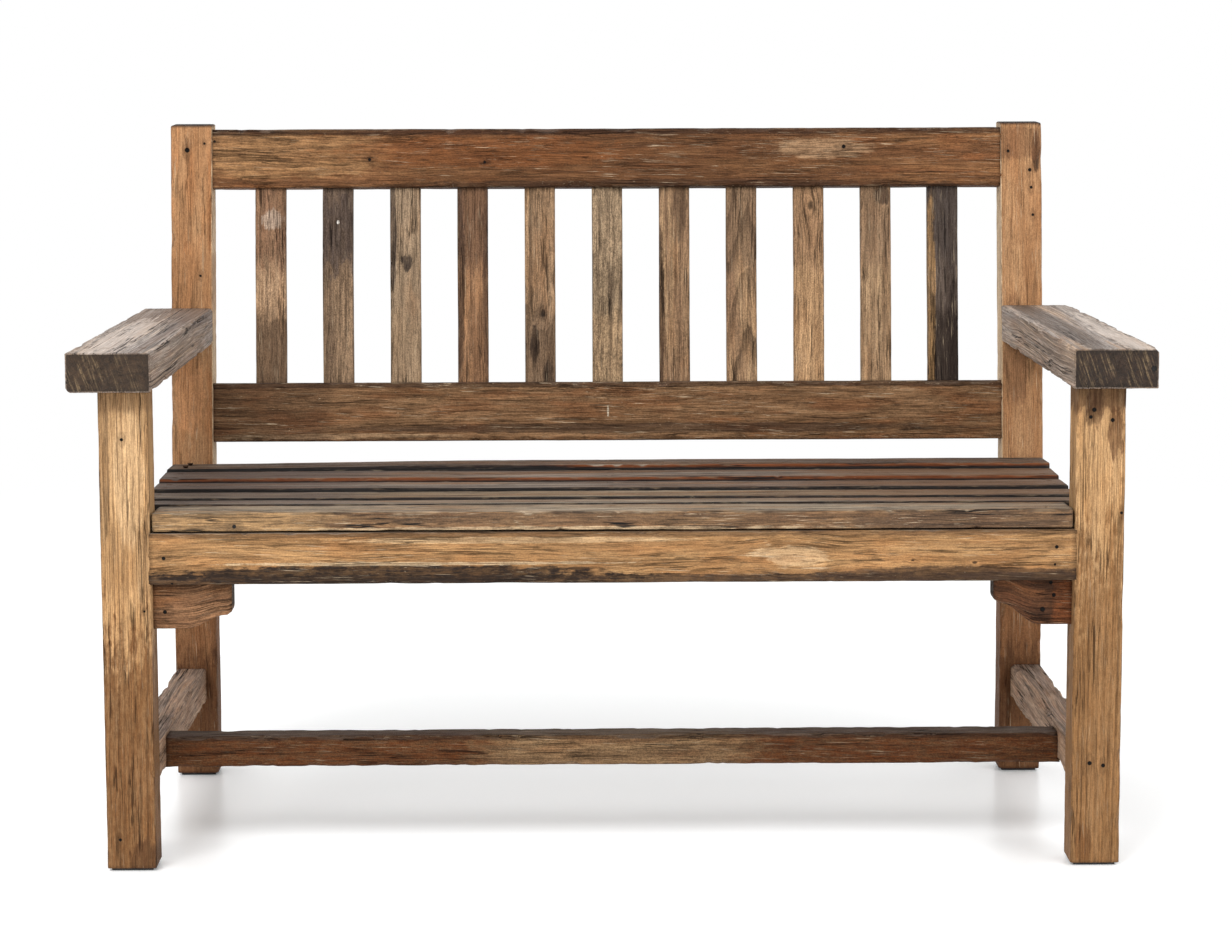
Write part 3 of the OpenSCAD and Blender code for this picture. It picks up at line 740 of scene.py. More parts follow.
def plain_material(name, first, second, cells, roughness, metal=0.0, bump_mm=0.4):
    """Mottled finish for the small metal, peg and rubber pieces, in object coordinates."""
    n = Nodes(name)
    place = n.new("ShaderNodeTexCoord").outputs["Object"]
    patchy = n.noise(n.scaled(place, (cells,) * 3), detail=4, roughness=0.65)
    grit = n.noise(n.scaled(place, (cells * 6,) * 3), detail=2)
    colour = n.mix(n.ramp(patchy, 0.38, 0.62), tone(*first), tone(*second))
    rough = n.ramp(grit, 0.3, 0.7, roughness - 0.12, roughness + 0.12)
    height = n.add(n.times(patchy, 0.6), n.times(grit, 0.4))
    return n.finished(colour, rough, height, 0.7, bump_mm, Metallic=metal)


# ---------------------------------------------------------------- legs and posts
UPRIGHT = dict(along=(0, 0, 1), across=(1, 0, 0), up=(0, 1, 0))
ACROSS = dict(along=(1, 0, 0), across=(0, 0, 1), up=(0, 1, 0))
FORE_AFT = dict(along=(0, 1, 0), across=(1, 0, 0), up=(0, 0, 1))
ORIGIN = (0, 0, 0)
SIDES = (("left", -1), ("right", 1))

leg_wood = dict(
    light=(208, 168, 122), mid=(184, 143, 98), dark=(62, 38, 20), end=(60, 44, 34), warm=(200, 144, 88),
    rings=4.0, pith=(70.0, 60.0), ring_slope=0.006, ring_dark=0.85, wander=2.5, line=190, fibre=0.38,
    threads=0.6, grit=0.24, pores=0.5, cracks=0.7, scratches=0.25, mottle=0.4, warmth=0.25)
LEG_LOOKS = {
    "left": look(
        leg_wood, nails=((545, -2, -29, 2.0), (40, -14, -29, 1.8), (330, 22, -29, 1.4)),
        patches=(((108, 70, 38), 0.92, (0, 0, 0), (290, FREE, FREE), 0.8),
                 ((140, 104, 68), 0.35, (395, 0, 0), (40, FREE, FREE), 0.8),
                 ((226, 190, 146), 0.45, (500, 6, 0), (90, 18, FREE), 0.6),
                 ((132, 104, 74), 0.7, (520, -25, -29), (100, 8, FREE), 0.8),
                 # darker band at the top of the leg: painted shade under the overhanging arm
                 ((140, 108, 76), 0.6, (606, 0, 0), (26, FREE, FREE), 0.6),
                 ((74, 48, 30), 0.75, (6, 18, -29), (34, 20, FREE), 0.7))),
    "right": look(
        leg_wood, nails=((577, -9, -29, 2.6), (568, -13, -29, 2.2), (564, 14, -29, 2.4),
                         (448, 27, -29, 1.8), (131, -8, -29, 2.6), (128, 9, -29, 2.4)),
        patches=(((122, 84, 48), 0.85, (0, 0, 0), (400, FREE, FREE), 1.0),
                 # darker band at the top of the leg: painted shade under the overhanging arm
                 ((74, 48, 32), 0.8, (606, 0, 0), (32, FREE, FREE), 1.0),
                 ((66, 42, 28), 0.7, (584, -8, -29), (30, 10, FREE), 1.2),
                 ((88, 56, 34), 0.8, (548, 18, -29), (32, 9, 20), 1.4),
                 ((112, 72, 40), 0.6, (26, -15, -30), (26, 10, 14), 0.5))),
}
LEG_DENTS = {"left": ((40, 30, 3, 3),), "right": ((330, 26, 5, 0), (60, 24, 4, 0), (520, 14, 3, 3))}

post_wood = dict(
    light=(184, 142, 102), mid=(164, 120, 82), dark=(60, 34, 18), end=(40, 28, 22), warm=(172, 110, 64),
    pith=(-14.0, 70.0), ring_dark=0.2, wander=4.0, line=120, fibre=0.22, threads=0.12, grit=0.34, pores=0.35,
    cracks=0.35, scratches=0.6, mottle=0.35, edge=0.8, grime=0.8)
post_foot = (((132, 88, 56), 0.88, (80, 0, 0), (330, FREE, FREE), 0.4),
             ((74, 48, 32), 0.6, (60, 0, 0), (110, FREE, FREE), 0.9))


def inner_rim(sign):
    """Pale strip down the side of a post that faces the slats."""
    return (224, 200, 166), 0.75, (650, -29.5 * sign, 0), (330, 2.5, FREE), 0.35


POST_LOOKS = {
    "left": look(
        post_wood, nails=((873, -6, -26, 3.2), (882, 18, -26, 1.6), (700, 12, -26, 1.6)),
        patches=(*post_foot, inner_rim(-1),
                 ((204, 146, 100), 0.7, (540, -3, -26), (60, 20, 99), 0.9),
                 ((150, 108, 72), 0.6, (690, 0, -26), (40, FREE, 99), 0.7))),
    "right": look(
        post_wood, warmth=0.15, nails=((842, 12, -26, 2.4), (818, 14, -26, 2.0), (780, 16, -26, 1.8),
                                       (640, -10, -26, 1.6), (868, -18, -26, 2.0)),
        patches=(*post_foot, inner_rim(1),
                 ((36, 22, 16), 0.9, (868, 21, -26), (28, 6, 14), 0.6),
                 ((110, 74, 50), 0.6, (880, 0, -26), (22, FREE, 99), 0.8),
                 ((112, 76, 52), 0.6, (590, -8, -26), (80, 16, 99), 1.2))),
}
POST_DENTS = {"left": ((760, 30, 4, 3),), "right": ((850, 26, 6, 0), (700, 18, 4, 0))}


def mirrored(sign, inner, outer):
    """Lowest and highest X of something that lies from inner to outer on the given side."""
    return (inner, outer) if sign > 0 else (-outer, -inner)


def make_uprights():
    upright = Place(ORIGIN, **UPRIGHT)
    for number, (side, sign) in enumerate(SIDES):
        leg = constant(*mirrored(sign, LEG_IN, LEG_OUT), 0, LEG_D)
        bar(f"front_leg_{side}", "leg_timber", upright, PAD_TOP, ARM_Z, leg, LEG_LOOKS[side], ends=OPEN,
            seed=11 + number, radius=1.7, bow=0.3, dents=LEG_DENTS[side])
        x0, x1 = mirrored(sign, POST_IN, POST_OUT)

        def post(s, x0=x0, x1=x1):
            front = POST_Y + LEAN * np.maximum(0, s - KNEE_Z)
            return np.full_like(s, x0), np.full_like(s, x1), front, front + POST_D

        bar(f"rear_post_{side}", "post_timber", upright, PAD_TOP, POST_TOP, post, POST_LOOKS[side], ends=OPEN,
            seed=21 + number, radius=2.2, chips=1.4, bow=0.2, rounding=2.6, dents=POST_DENTS[side])


# ---------------------------------------------------------------- back
back_wood = dict(
    light=(152, 108, 70), mid=(122, 82, 52), dark=(30, 17, 10), warm=(132, 78, 42), rings=8.0, pith=(60, 50),
    ring_dark=0.35, wander=8.0, line=120, fibre=0.36, grit=0.35, pores=0.45, cracks=0.5, scratches=0.6,
    mottle=0.9, weather=0.25, edge_light=0.35)
TOP_RAIL_LOOK = look(
    back_wood, nails=((330, 14, -19, 2.6), (-330, -2, -19, 2.2), (-170, -6, -19, 1.8), (-545, 24, -19, 1.6)),
    patches=(((94, 62, 38), 0.65, (60, -6, 0), (330, 60, FREE), 0.7),
             ((172, 132, 90), 0.6, (-450, 6, 0), (150, 32, FREE), 0.8),
             ((128, 76, 40), 0.6, (-170, 8, 0), (200, 22, FREE), 0.8),
             ((176, 142, 108), 0.65, (300, 12, -19), (70, 14, 30), 0.8),
             ((46, 30, 22), 0.8, (0, 41, 0), (FREE, 9, FREE), 0.6),
             ((46, 32, 24), 0.7, (100, -39, 0), (420, 8, FREE), 0.8)))
LOWER_RAIL_LOOK = look(
    back_wood, light=(156, 120, 86), mid=(124, 91, 62), scratches=0.85,
    patches=(((50, 36, 28), 0.75, (0, 40, 0), (FREE, 7, FREE), 0.7),
             ((178, 148, 114), 0.6, (-380, -34, -19), (170, 4, FREE), 0.8),
             ((52, 38, 30), 0.7, (60, -24, 0), (420, 7, FREE), 0.9),
             ((64, 44, 32), 0.5, (-480, 0, 0), (90, FREE, FREE), 0.5),
             ((218, 204, 180), 0.85, (0, 0, -19), (1.4, 8, 9), 0.2)))

slat_wood = dict(
    dark=(32, 20, 13), warm=(160, 112, 70), rings=6.0, ring_dark=0.45, wander=4.0, line=110, fibre=0.42,
    threads=0.55, grit=0.45, cracks=0.7, scratches=0.45, mottle=0.9, warmth=0.25, weather=0.2)
TOP_S, LOW_S = TOP_RAIL[0], LOWER_RAIL[1]
MID_S = (TOP_S + LOW_S) / 2


def slat_look(light, mid, top=None, foot=None, more=(), **changes):
    """A back slat: two body tones, a tone for its top third and one for its lower third."""
    patches = []
    if top:
        patches.append((top, 0.75, (TOP_S, 0, 0), (110, FREE, FREE), 0.6))
    if foot:
        patches.append((foot, 0.75, (LOW_S, 0, 0), (95, FREE, FREE), 0.6))
    return look(slat_wood, light=light, mid=mid, patches=(*patches, *more), **changes)


SLAT_LOOKS = [
    slat_look((204, 168, 132), (182, 148, 116), top=(118, 80, 58), foot=(46, 30, 20),
              more=(((204, 186, 168), 0.5, (TOP_S - 44, 2, -9), (13, 15, 99), 1.3),)),
    slat_look((158, 130, 102), (128, 104, 82), top=(98, 84, 76), warmth=0.0, grit=0.6,
              more=(((76, 64, 58), 0.75, (TOP_S - 62, 0, -9), (50, 24, 99), 1.3),
                    ((226, 220, 212), 0.95, (TOP_S - 47, 0, -9), (2.6, 2.2, 9), 0.3))),
    slat_look((180, 154, 126), (156, 132, 106), foot=(156, 130, 102), fibre=0.25, threads=0.25,
              more=(((54, 46, 44), 0.8, (TOP_S - 60, -18, -9), (70, 6, 99), 1.0),
                    ((36, 30, 30), 0.9, (TOP_S - 104, 1, -9), (11, 7, 99), 1.9))),
    slat_look((168, 128, 94), (146, 108, 78), top=(98, 72, 56),
              more=(((56, 42, 34), 0.75, (MID_S, -18, -9), (150, 6, 99), 1.0),
                    ((64, 46, 36), 0.7, (MID_S, 19, -9), (150, 5, 99), 1.0))),
    slat_look((180, 146, 112), (148, 118, 90), foot=(120, 98, 78), ring_dark=0.8, rings=7.0, pith=(4.0, 24.0),
              more=(((34, 24, 20), 0.85, (LOW_S + 52, -8, 0), (26, 6, 99), 1.2),
                    ((50, 40, 34), 0.7, (LOW_S + 8, 10, 0), (26, 7, 99), 1.2)),
              knots=((LOW_S + 96, 4, -9, 4.0, 1.0),)),
    slat_look((170, 146, 116), (126, 106, 84), top=(176, 150, 120), foot=(186, 154, 118), warmth=0.0,
              grit=0.65, mottle=1.0),
    slat_look((172, 140, 106), (148, 116, 88),
              more=(((54, 36, 28), 0.8, (LOW_S + 90, -20, 0), (120, 5, 99), 1.0),
                    ((60, 44, 34), 0.6, (TOP_S - 20, 8, 0), (50, 8, 99), 1.2))),
    slat_look((184, 150, 114), (150, 118, 90), ring_dark=1.0, rings=8.0, pith=(6.0, 26.0), ring_slope=0.09,
              mottle=0.5, top=(122, 98, 76), threads=0.7),
    slat_look((204, 164, 122), (182, 144, 106), top=(146, 112, 84), knots=((TOP_S - 26, 3, -9, 5.0, 0.9),)),
    slat_look((190, 158, 122), (166, 134, 102), top=(136, 108, 84),
              more=(((48, 34, 28), 0.8, (TOP_S - 12, 8, 0), (12, 12, 99), 1.2),)),
    slat_look((122, 106, 94), (88, 76, 68), top=(70, 62, 58), foot=(26, 19, 16), warmth=0.0,
              more=(((170, 132, 88), 0.8, (MID_S - 20, -17, 0), (170, 6, 99), 1.0),
                    ((30, 22, 20), 0.8, (LOW_S + 20, 14, 0), (110, 8, 99), 1.0))),
]


def make_back():
    knee = (0, POST_Y, KNEE_Z)
    up = (0, math.sin(RAKE), math.cos(RAKE))
    back = (0, math.cos(RAKE), -math.sin(RAKE))
    half = POST_IN + RUN_IN
    for node, height, style, seed in (("top_back_rail", TOP_RAIL, TOP_RAIL_LOOK, 31),
                                      ("lower_back_rail", LOWER_RAIL, LOWER_RAIL_LOOK, 32)):
        bar(node, "back_rail_timber", Place(knee, (1, 0, 0), up, back), -half, half,
            constant(*height, *RAIL_BACK), style, seed=seed, radius=2.4, chips=1.2, bow=0.6)
    place = Place(knee, up, (1, 0, 0), back)
    for i in range(1, SLATS + 1):
        x = (i - (SLATS + 1) / 2) * SLAT_PITCH
        bar(f"back_slat_{i}", "back_slat_timber", place, LOWER_RAIL[1] - HOUSED, TOP_RAIL[0] + HOUSED,
            constant(x - SLAT_HALF, x + SLAT_HALF, *SLAT_BACK), SLAT_LOOKS[i - 1], seed=40 + i, radius=2.0,
            chips=0.6, bow=0.9, relief=0.6, twist=(i % 3 - 1) * 0.8)


# ---------------------------------------------------------------- seat
seat_wood = dict(
    light=(150, 108, 70), mid=(118, 80, 48), dark=(22, 14, 10), grey=(172, 160, 148), end=(60, 48, 40),
    rings=8.0, pith=(20.0, 70.0), ring_dark=0.4, stretch=1.8, threads=0.8, cracks=1.0, mottle=1.0, warmth=0.2,
    weather=0.95, furrow=0.6, stripes=0.75, edge=0.8, gloss=0.3)
# Painted shade in the gaps between the seat slats, on their front faces: the first patch paints most of a
# front face near black, the last paints a whole front face near black, and the rusty front is a rust-brown
# strip of the wood's own colour along the top, over that painted shade.
gap_shade = ((12, 7, 5), 0.98, (0, -39, -3.5), (FREE, 9, 11.5), 0.25)
rusty_front_and_gap_shade = (((112, 56, 18), 0.92, (0, -39, 18), (FREE, 2.2, 14), 0.8), gap_shade)
front_shade = (((18, 11, 8), 0.98, (0, -39, 12), (FREE, 4.5, FREE), 0.4), gap_shade)
seat_stains = (((112, 80, 54), 0.65, (500, 0, 12), (220, FREE, 14), 1.2),
               ((92, 78, 72), 0.6, (-520, 0, 12), (190, FREE, 14), 1.2))
SEAT_LOOKS = [
    look(seat_wood, light=(160, 122, 82), mid=(128, 95, 64), grey=(208, 188, 160), stretch=1.0, fibre=0.4,
         pores=0.4, scratches=0.9, stripes=0.5,
         patches=(((186, 148, 100), 0.6, (-480, -39, 0), (130, 20, FREE), 0.7),
                  ((104, 78, 54), 0.6, (-60, -39, 4), (330, 16, 8), 1.1),
                  ((204, 178, 142), 0.7, (-60, -39, -8), (330, 9, 2.5), 1.3),
                  ((60, 44, 34), 0.6, (430, -39, -2), (150, 16, 14), 1.1)),
         nails=((-469, -39, -4, 2.4), (-556, -11, 12, 3.0), (420, -26, 12, 2.2))),
    look(seat_wood, grey=(212, 196, 172), over=(*seat_stains, *front_shade)),
    look(seat_wood, grey=(194, 172, 140), over=(*seat_stains, *front_shade)),
    look(seat_wood, grey=(160, 146, 134), over=(*seat_stains, *front_shade)),
    look(seat_wood, grey=(174, 158, 144), over=(*seat_stains, *rusty_front_and_gap_shade)),
    look(seat_wood, grey=(130, 114, 100), weather=0.85,
         # the near-black strip over the left half of this slat's front face is painted shade in the gap before
         # it
         over=(*rusty_front_and_gap_shade, ((14, 9, 7), 0.95, (-360, -39, 6), (340, 6, 9), 0.5))),
]
FRONT_RAIL_LOOK = look(
    light=(184, 142, 96), mid=(156, 115, 74), dark=(44, 30, 20), warm=(176, 118, 68), rings=8.0,
    pith=(-4.0, 46.0), ring_slope=0.03, ring_dark=0.35, wander=9.0, line=160, fibre=0.32, threads=0.4,
    cracks=0.6, scratches=0.6, mottle=0.6, warmth=0.3, edge=0.8,
    knots=((222, -2, -21, 9.0, 0.0), (372, -6, -21, 1.4, 1.0), (449, -9, -21, 2.2, 1.0)),
    nails=((-557, 1, -21, 2.2), (-547, -31, -21, 1.5), (551, 10, -21, 2.2), (549, -12, -21, 1.6)),
    patches=(((216, 186, 146), 0.45, (222, 2, -21), (46, 15, 40), 1.3),
             ((68, 52, 40), 1.0, (0, -34, 0), (FREE, 13, FREE), 1.0),
             ((34, 26, 22), 1.0, (-270, -22, 0), (280, 13, FREE), 1.0),
             ((60, 44, 34), 0.85, (430, -24, 0), (190, 10, FREE), 1.0),
             ((204, 180, 146), 0.7, (-250, -7, -21), (260, 2.2, FREE), 1.1),
             ((96, 70, 48), 0.75, (0, 33, 0), (FREE, 7, FREE), 0.9),
             ((212, 182, 142), 0.5, (-120, 22, 0), (220, 4, FREE), 0.8)))


def between_legs(y, front, rear):
    """X at y of a line that starts at front behind the legs and ends at rear before the posts."""
    return front + (rear - front) * (y - LEG_D) / (POST_Y - LEG_D)


def bearer_x(y):
    return between_legs(y, BEARER_FRONT_X, BEARER_REAR_X)


def seat_place(k):
    sin, cos = math.sin(SEAT_LEAN[k]), math.cos(SEAT_LEAN[k])
    return Place((0, k * SEAT_PITCH, SEAT_Z - SEAT_DROP[k]), (1, 0, 0), (0, cos, -sin), (0, sin, cos))


def slat_screws(k):
    """The screw holes of seat slat k: over the front rail in the first slat, over the bearers in the rest."""
    if k == 0:
        spots = [(x, 21) for x in (-540, -180, 180, 540)] + [(0, 60)]
    else:
        spots = [(f * bearer_x(k * SEAT_PITCH + s), s) for s in (18, 60) for f in (-1, 0, 1)]
    place = seat_place(k)
    down = -Vector(place.axes[2])
    return [(Vector(place.world(np.array([x, s, 0.0]))), down, *SMALL_SCREW) for x, s in spots]


def bearer_limits(centre):
    """Limits of a bearer round centre(y), cut on top to the undersides of the seat slats."""
    corners = [np.array([0, s, -SEAT_T]) for s in (0, SEAT_W)]
    edges = [seat_place(k).world(corner) for k in range(len(SEAT_LOOKS)) for corner in corners]
    _, edge_y, edge_z = zip(*edges)

    def limits(s):
        x = centre(s)
        top = np.interp(s, edge_y, edge_z) - 0.3
        return x - BEARER_HALF, x + BEARER_HALF, np.full_like(s, SEAT_FRAME_Z), top
    return limits


def make_seat():
    for k, style in enumerate(SEAT_LOOKS):
        half = (POST_OUT if k else LEG_IN) - SIDE_GAP
        bar(f"seat_slat_{k + 1}", "seat_timber", seat_place(k), -half, half, constant(0, SEAT_W, -SEAT_T, 0),
            style, ends=OPEN, holes=slat_screws(k), seed=60 + k, radius=1.8, chips=0.5, bow=0.8, relief=0.6,
            rounding=2.4, cup=SEAT_CUP[k], sag=REAR_SLAT_SAG if k == len(SEAT_LOOKS) - 1 else None)
    half = LEG_IN + RUN_IN
    bar("front_seat_rail", "leg_timber", Place(ORIGIN, **ACROSS), -half, half, constant(*FRONT_RAIL),
        FRONT_RAIL_LOOK, seed=71, bow=0.4)
    half = POST_IN + RUN_IN
    frame_look = look(back_wood)
    bar("rear_seat_rail", "frame_timber", Place(ORIGIN, **ACROSS), -half, half, constant(*REAR_RAIL),
        frame_look, seed=72)
    fore_aft = Place(ORIGIN, **FORE_AFT)
    for number, (side, sign) in enumerate(SIDES):
        bar(f"side_seat_rail_{side}", "frame_timber", fore_aft, LEG_D - RUN_IN, POST_Y + RUN_IN,
            bearer_limits(lambda s, f=sign: f * bearer_x(s)), frame_look, seed=73 + number)
    bar("centre_seat_bearer", "frame_timber", fore_aft, FRONT_RAIL[3] - RUN_IN, REAR_RAIL[2] + RUN_IN,
        bearer_limits(lambda s: 0 * s), frame_look, seed=76)


# ---------------------------------------------------------------- arms
arm_wood = dict(
    light=(184, 156, 130), mid=(148, 124, 102), dark=(42, 30, 24), grey=(216, 200, 188),
    end_streak=(140, 116, 84), rings=9.0, pith=(30.0, -60.0), ring_dark=0.4, line=130, stretch=2.6,
    threads=0.6, pores=0.35, cracks=0.9, mottle=0.6, warmth=0.3, weather=1.0, weather_sides=0.45, furrow=0.4,
    edge=0.7, rough=0.5, bump=2.0, gloss=0.35)
ARM_LOOKS = {
    "left": look(
        arm_wood, end=(72, 52, 34), nails=((300, -20, 25, 2.0),),
        over=(((110, 88, 72), 0.7, (600, 0, 25), (230, FREE, 16), 0.9),
              # pale patch on the arm top: painted sheen, a highlight, over the weathered grey
              ((222, 204, 190), 0.45, (170, -14, 25), (260, 26, 16), 1.6),
              ((96, 76, 64), 0.6, (230, 34, 25), (330, 9, 16), 0.9))),
    "right": look(
        arm_wood, end=(56, 38, 24), nails=((300, -20, 25, 2.0), (0, 46, 0, 3.4)),
        over=(((84, 68, 56), 0.8, (330, -20, 25), (420, 18, 16), 0.9),
              # pale patch on the arm top: painted sheen, a highlight, over the weathered grey
              ((222, 206, 192), 0.45, (160, 32, 25), (300, 18, 16), 1.6))),
}
ARM_SCREWS = (-23, 23)


def make_arms():
    length = POST_Y + (ARM_Z - KNEE_Z) * LEAN - ARM_FRONT_Y
    for number, (side, sign) in enumerate(SIDES):
        front, rear = ((*mirrored(sign, *x), 0, ARM_TOP - ARM_Z) for x in (ARM_FRONT_X, ARM_REAR_X))
        limits = tapering(0, length, front, rear)
        mouths = [(sign * (LEG_IN + LEG_OUT) / 2 + step, LEG_D / 2, ARM_TOP) for step in ARM_SCREWS]
        screws = [(Vector(mouth), Vector((0, 0, -1)), *ARM_SCREW) for mouth in mouths]
        bar(f"armrest_{side}", "arm_timber", Place((0, ARM_FRONT_Y, ARM_Z), **FORE_AFT), 0, length, limits,
            ARM_LOOKS[side], ends=OPEN, skew=LEAN, holes=screws, seed=81 + number, radius=2.4, relief=0.9,
            bow=0.3, rounding=2.2)


# ---------------------------------------------------------------- stretchers and brackets
stretcher_wood = dict(
    light=(206, 170, 140), mid=(172, 138, 110), dark=(34, 22, 16), grey=(190, 172, 160), ring_dark=0.4,
    stretch=1.5, fibre=0.5, threads=0.7, grit=0.4, cracks=0.9, scratches=0.5, weather=0.6, weather_sides=0.15,
    edge=0.8)
LONG_STRETCHER_LOOK = look(
    light=(150, 120, 86), mid=(124, 96, 68), dark=(28, 16, 8), warm=(120, 72, 36), ring_dark=0.35, line=100,
    fibre=0.5, threads=0.6, grit=0.5, cracks=0.7, scratches=0.4, warmth=0.25, weather=0.4,
    patches=(((88, 48, 20), 1.0, (-430, 0, 0), (270, FREE, FREE), 0.4),
             ((84, 44, 16), 1.0, (440, 0, 0), (270, FREE, FREE), 0.4),
             ((50, 32, 20), 0.7, (0, 19, 0), (FREE, 5, FREE), 0.8)))
bracket_wood = dict(fibre=0.45, threads=0.6, grit=0.4)
BRACKET_LOOKS = {
    "left": look(
        bracket_wood, light=(160, 118, 84), mid=(130, 92, 64), dark=(36, 24, 16),
        nails=((14, -17, -8, 2.4), (84, -17, 22, 2.6)),
        # the dark band along the top of this bracket is a painted shadow under the front rail
        patches=(((58, 40, 30), 0.75, (0, 0, 28), (FREE, 99, 5), 0.8),)),
    "right": look(
        bracket_wood, light=(108, 68, 44), mid=(84, 54, 36), dark=(26, 16, 10), warmth=0.2,
        nails=((36, -17, -10, 3.0), (22, -17, 8, 2.4), (26, -17, 24, 2.2)),
        patches=(((130, 74, 40), 0.7, (8, 0, 0), (16, 99, FREE), 0.7),)),
}
BRACKET_SCREWS, BRACKET_SCREW_Y = (34, 64), 31


def bracket_limits(end_h):
    """Section of a corner bracket at distance s from the leg: flat top, ogee below, rounded tip."""
    def limits(s):
        t = np.clip((s - OGEE[0]) / (OGEE[1] - OGEE[0]), 0, 1)
        low = -end_h - (BRACKET_H - end_h) * (1 + np.cos(np.pi * t)) / 2
        tip = np.clip(s - OGEE[1], 0, TIP_R)
        low = np.minimum(low + TIP_R - np.sqrt(TIP_R**2 - tip**2), -12)
        return np.full_like(s, -BRACKET_HALF), np.full_like(s, BRACKET_HALF), low, np.zeros_like(s)
    return limits


def make_bracket(number, side, sign):
    place = Place((sign * LEG_IN, BRACKET_Y, SEAT_FRAME_Z), (-sign, 0, 0), (0, 1, 0), (0, 0, 1))
    mouths = [(sign * (LEG_IN - step), BRACKET_SCREW_Y, SEAT_FRAME_Z - BRACKET_H) for step in BRACKET_SCREWS]
    screws = [(Vector(mouth), Vector((0, 0, 1)), *BRACKET_SCREW) for mouth in mouths]
    bar(f"corner_bracket_{side}", "frame_timber", place, -RUN_IN, BRACKET_L,
        bracket_limits(BRACKET_END_H[side]), BRACKET_LOOKS[side], ends=("hidden", "open"), holes=screws,
        seed=94 + number, radius=2.0, bow=0.0)


def make_side_stretcher(number, side, sign):
    span = (LEG_D - RUN_IN, POST_Y + RUN_IN)
    height = (STRETCHER_Z, STRETCHER_Z + STRETCHER_H)
    front, rear = ((*mirrored(sign, x - STRETCHER_HALF, x + STRETCHER_HALF), *height)
                   for x in (STRETCHER_FRONT_X, STRETCHER_REAR_X))
    bar(f"side_stretcher_{side}", "frame_timber", Place(ORIGIN, **FORE_AFT), *span,
        tapering(*span, front, rear), look(stretcher_wood), seed=91 + number, radius=2.6, relief=1.1)


def make_brackets_and_stretchers():
    for number, (side, sign) in enumerate(SIDES):
        make_side_stretcher(number, side, sign)
        make_bracket(number, side, sign)
    side_x = between_legs(LONG_STRETCHER[2], STRETCHER_FRONT_X, STRETCHER_REAR_X)
    half = side_x - STRETCHER_HALF + RUN_IN
    bar("long_stretcher", "frame_timber", Place(ORIGIN, **ACROSS), -half, half, constant(*LONG_STRETCHER),
        LONG_STRETCHER_LOOK, seed=97, radius=2.2, chips=2.0, relief=1.0)


# ---------------------------------------------------------------- small parts
def make_small_parts():
    rubber = plain_material("black_rubber", (26, 25, 24), (40, 38, 36), 90, 0.7)
    for side, _ in SIDES:
        for end in ("front", "rear"):
            node = f"foot_pad_{end}_{side}"
            low, high = cad(node)
            section = constant(low.z, high.z, low.y, high.y)
            bar(node, "pad_rubber", Place(ORIGIN, **ACROSS), low.x, high.x, section, rubber, ends=OPEN,
                seed=101, radius=0.9, relief=0.1, bow=0, rounding=0.9, chips=0)
    steel = plain_material("rusty_steel", (46, 40, 36), (92, 62, 42), 700, 0.55, metal=0.7, bump_mm=0.2)
    pegs = plain_material("peg_end_grain", (58, 38, 26), (96, 66, 44), 500, 0.7, bump_mm=0.3)
    for node, finish in (("seat_slat_screws", steel), ("armrest_screws", steel), ("bracket_screws", steel),
                         ("foot_pad_nails", steel), ("joint_pegs", pegs)):
        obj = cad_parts[node]
        obj.data.materials.clear()
        obj.data.materials.append(finish)


# ---------------------------------------------------------------- floor, light and camera, in metres
FLOOR_R = 400
FLOOR_DROP = 0.0004
FADE_FROM, FADE_TO = 1.1, 3.4
CAMERA_PLACE = (-0.0529, -4.6465, 1.0994)
CAMERA_LENS, CAMERA_SENSOR = 103.36, 36
CAMERA_PITCH, CAMERA_YAW, CAMERA_ROLL = (math.radians(a) for a in (7.72, 0.748, 0.159))
TARGET = (0, 0, 0.5)


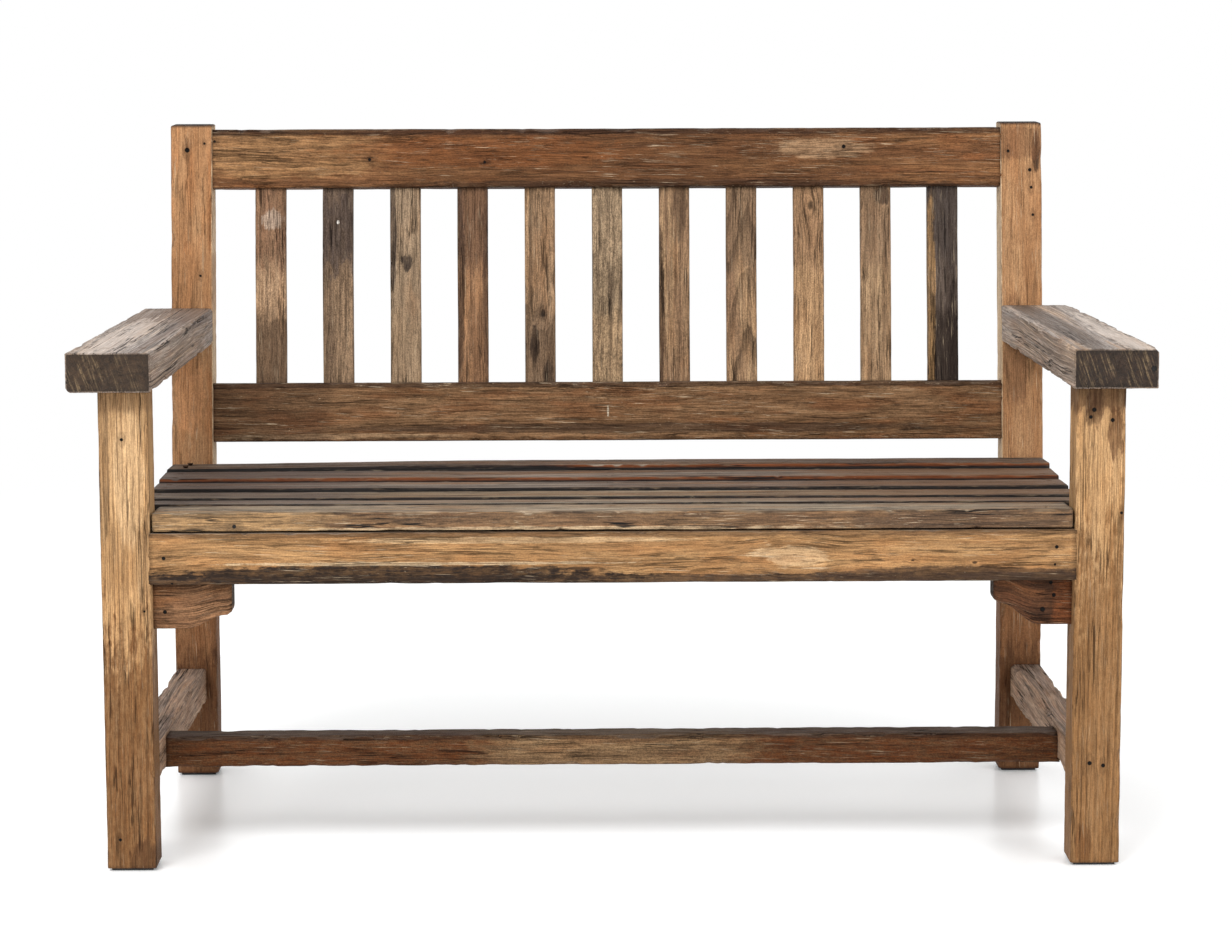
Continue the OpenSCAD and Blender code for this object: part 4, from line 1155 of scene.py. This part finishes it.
def floor_material():
    """Pale, slightly glossy floor that fades into plain white away from the bench."""
    n = Nodes("pale_floor")
    reach = n.filled("ShaderNodeVectorMath", n.new("ShaderNodeTexCoord").outputs["Object"], operation="LENGTH")
    shader = n.new("ShaderNodeBsdfPrincipled")
    for key, value in (("Base Color", (0.97, 0.975, 0.98, 1)), ("Roughness", 0.28),
                       ("Specular IOR Level", 0.3), ("Emission Color", (0.92, 1.0, 1.0, 1)),
                       ("Emission Strength", 0.09)):
        shader.inputs[key].default_value = value
    glow = n.new("ShaderNodeEmission")
    glow.inputs["Color"].default_value = (1, 1, 1, 1)
    far = n.ramp(reach.outputs["Value"], FADE_FROM, FADE_TO)
    mixed = n.filled("ShaderNodeMixShader", far, shader.outputs[0], glow.outputs[0])
    n.put(n.new("ShaderNodeOutputMaterial").inputs["Surface"], mixed.outputs[0])
    return n.material


def make_floor():
    disc = bmesh.new()
    bmesh.ops.create_circle(disc, cap_ends=True, segments=96, radius=FLOOR_R)
    mesh = bpy.data.meshes.new("floor")
    disc.to_mesh(mesh)
    disc.free()
    mesh.materials.append(floor_material())
    floor = bpy.data.objects.new("floor", mesh)
    floor.location.z = -FLOOR_DROP
    bpy.context.scene.collection.objects.link(floor)


def make_light(name, place, size, power):
    data = bpy.data.lights.new(name, "AREA")
    data.shape, data.size, data.energy = "DISK", size, power
    lamp = bpy.data.objects.new(name, data)
    lamp.location = place
    lamp.rotation_euler = (Vector(TARGET) - Vector(place)).to_track_quat("-Z", "Y").to_euler()
    bpy.context.scene.collection.objects.link(lamp)


def make_studio():
    world = bpy.data.worlds.new("studio")
    world.use_nodes = True
    sky = world.node_tree.nodes["Background"]
    sky.inputs["Color"].default_value = (1, 1, 1, 1)
    sky.inputs["Strength"].default_value = 1.0
    bpy.context.scene.world = world
    make_light("key", (-1.6, -3.4, 3.4), 2.6, 150)
    make_light("fill", (2.6, -2.8, 2.4), 2.4, 50)
    bpy.context.scene.view_settings.view_transform = "Standard"


def make_camera():
    data = bpy.data.cameras.new("camera")
    data.lens, data.sensor_width, data.clip_end = CAMERA_LENS, CAMERA_SENSOR, 3 * FLOOR_R
    camera = bpy.data.objects.new("camera", data)
    turn = Matrix.Rotation(-CAMERA_YAW, 3, "Z")
    turn = turn @ Matrix.Rotation(math.pi / 2 - CAMERA_PITCH, 3, "X") @ Matrix.Rotation(-CAMERA_ROLL, 3, "Z")
    camera.rotation_euler = turn.to_euler()
    camera.location = CAMERA_PLACE
    bpy.context.scene.collection.objects.link(camera)
    bpy.context.scene.camera = camera


make_uprights()
make_back()
make_seat()
make_arms()
make_brackets_and_stretchers()
make_small_parts()
make_floor()
make_studio()
make_camera()

bpy.context.view_layer.update()
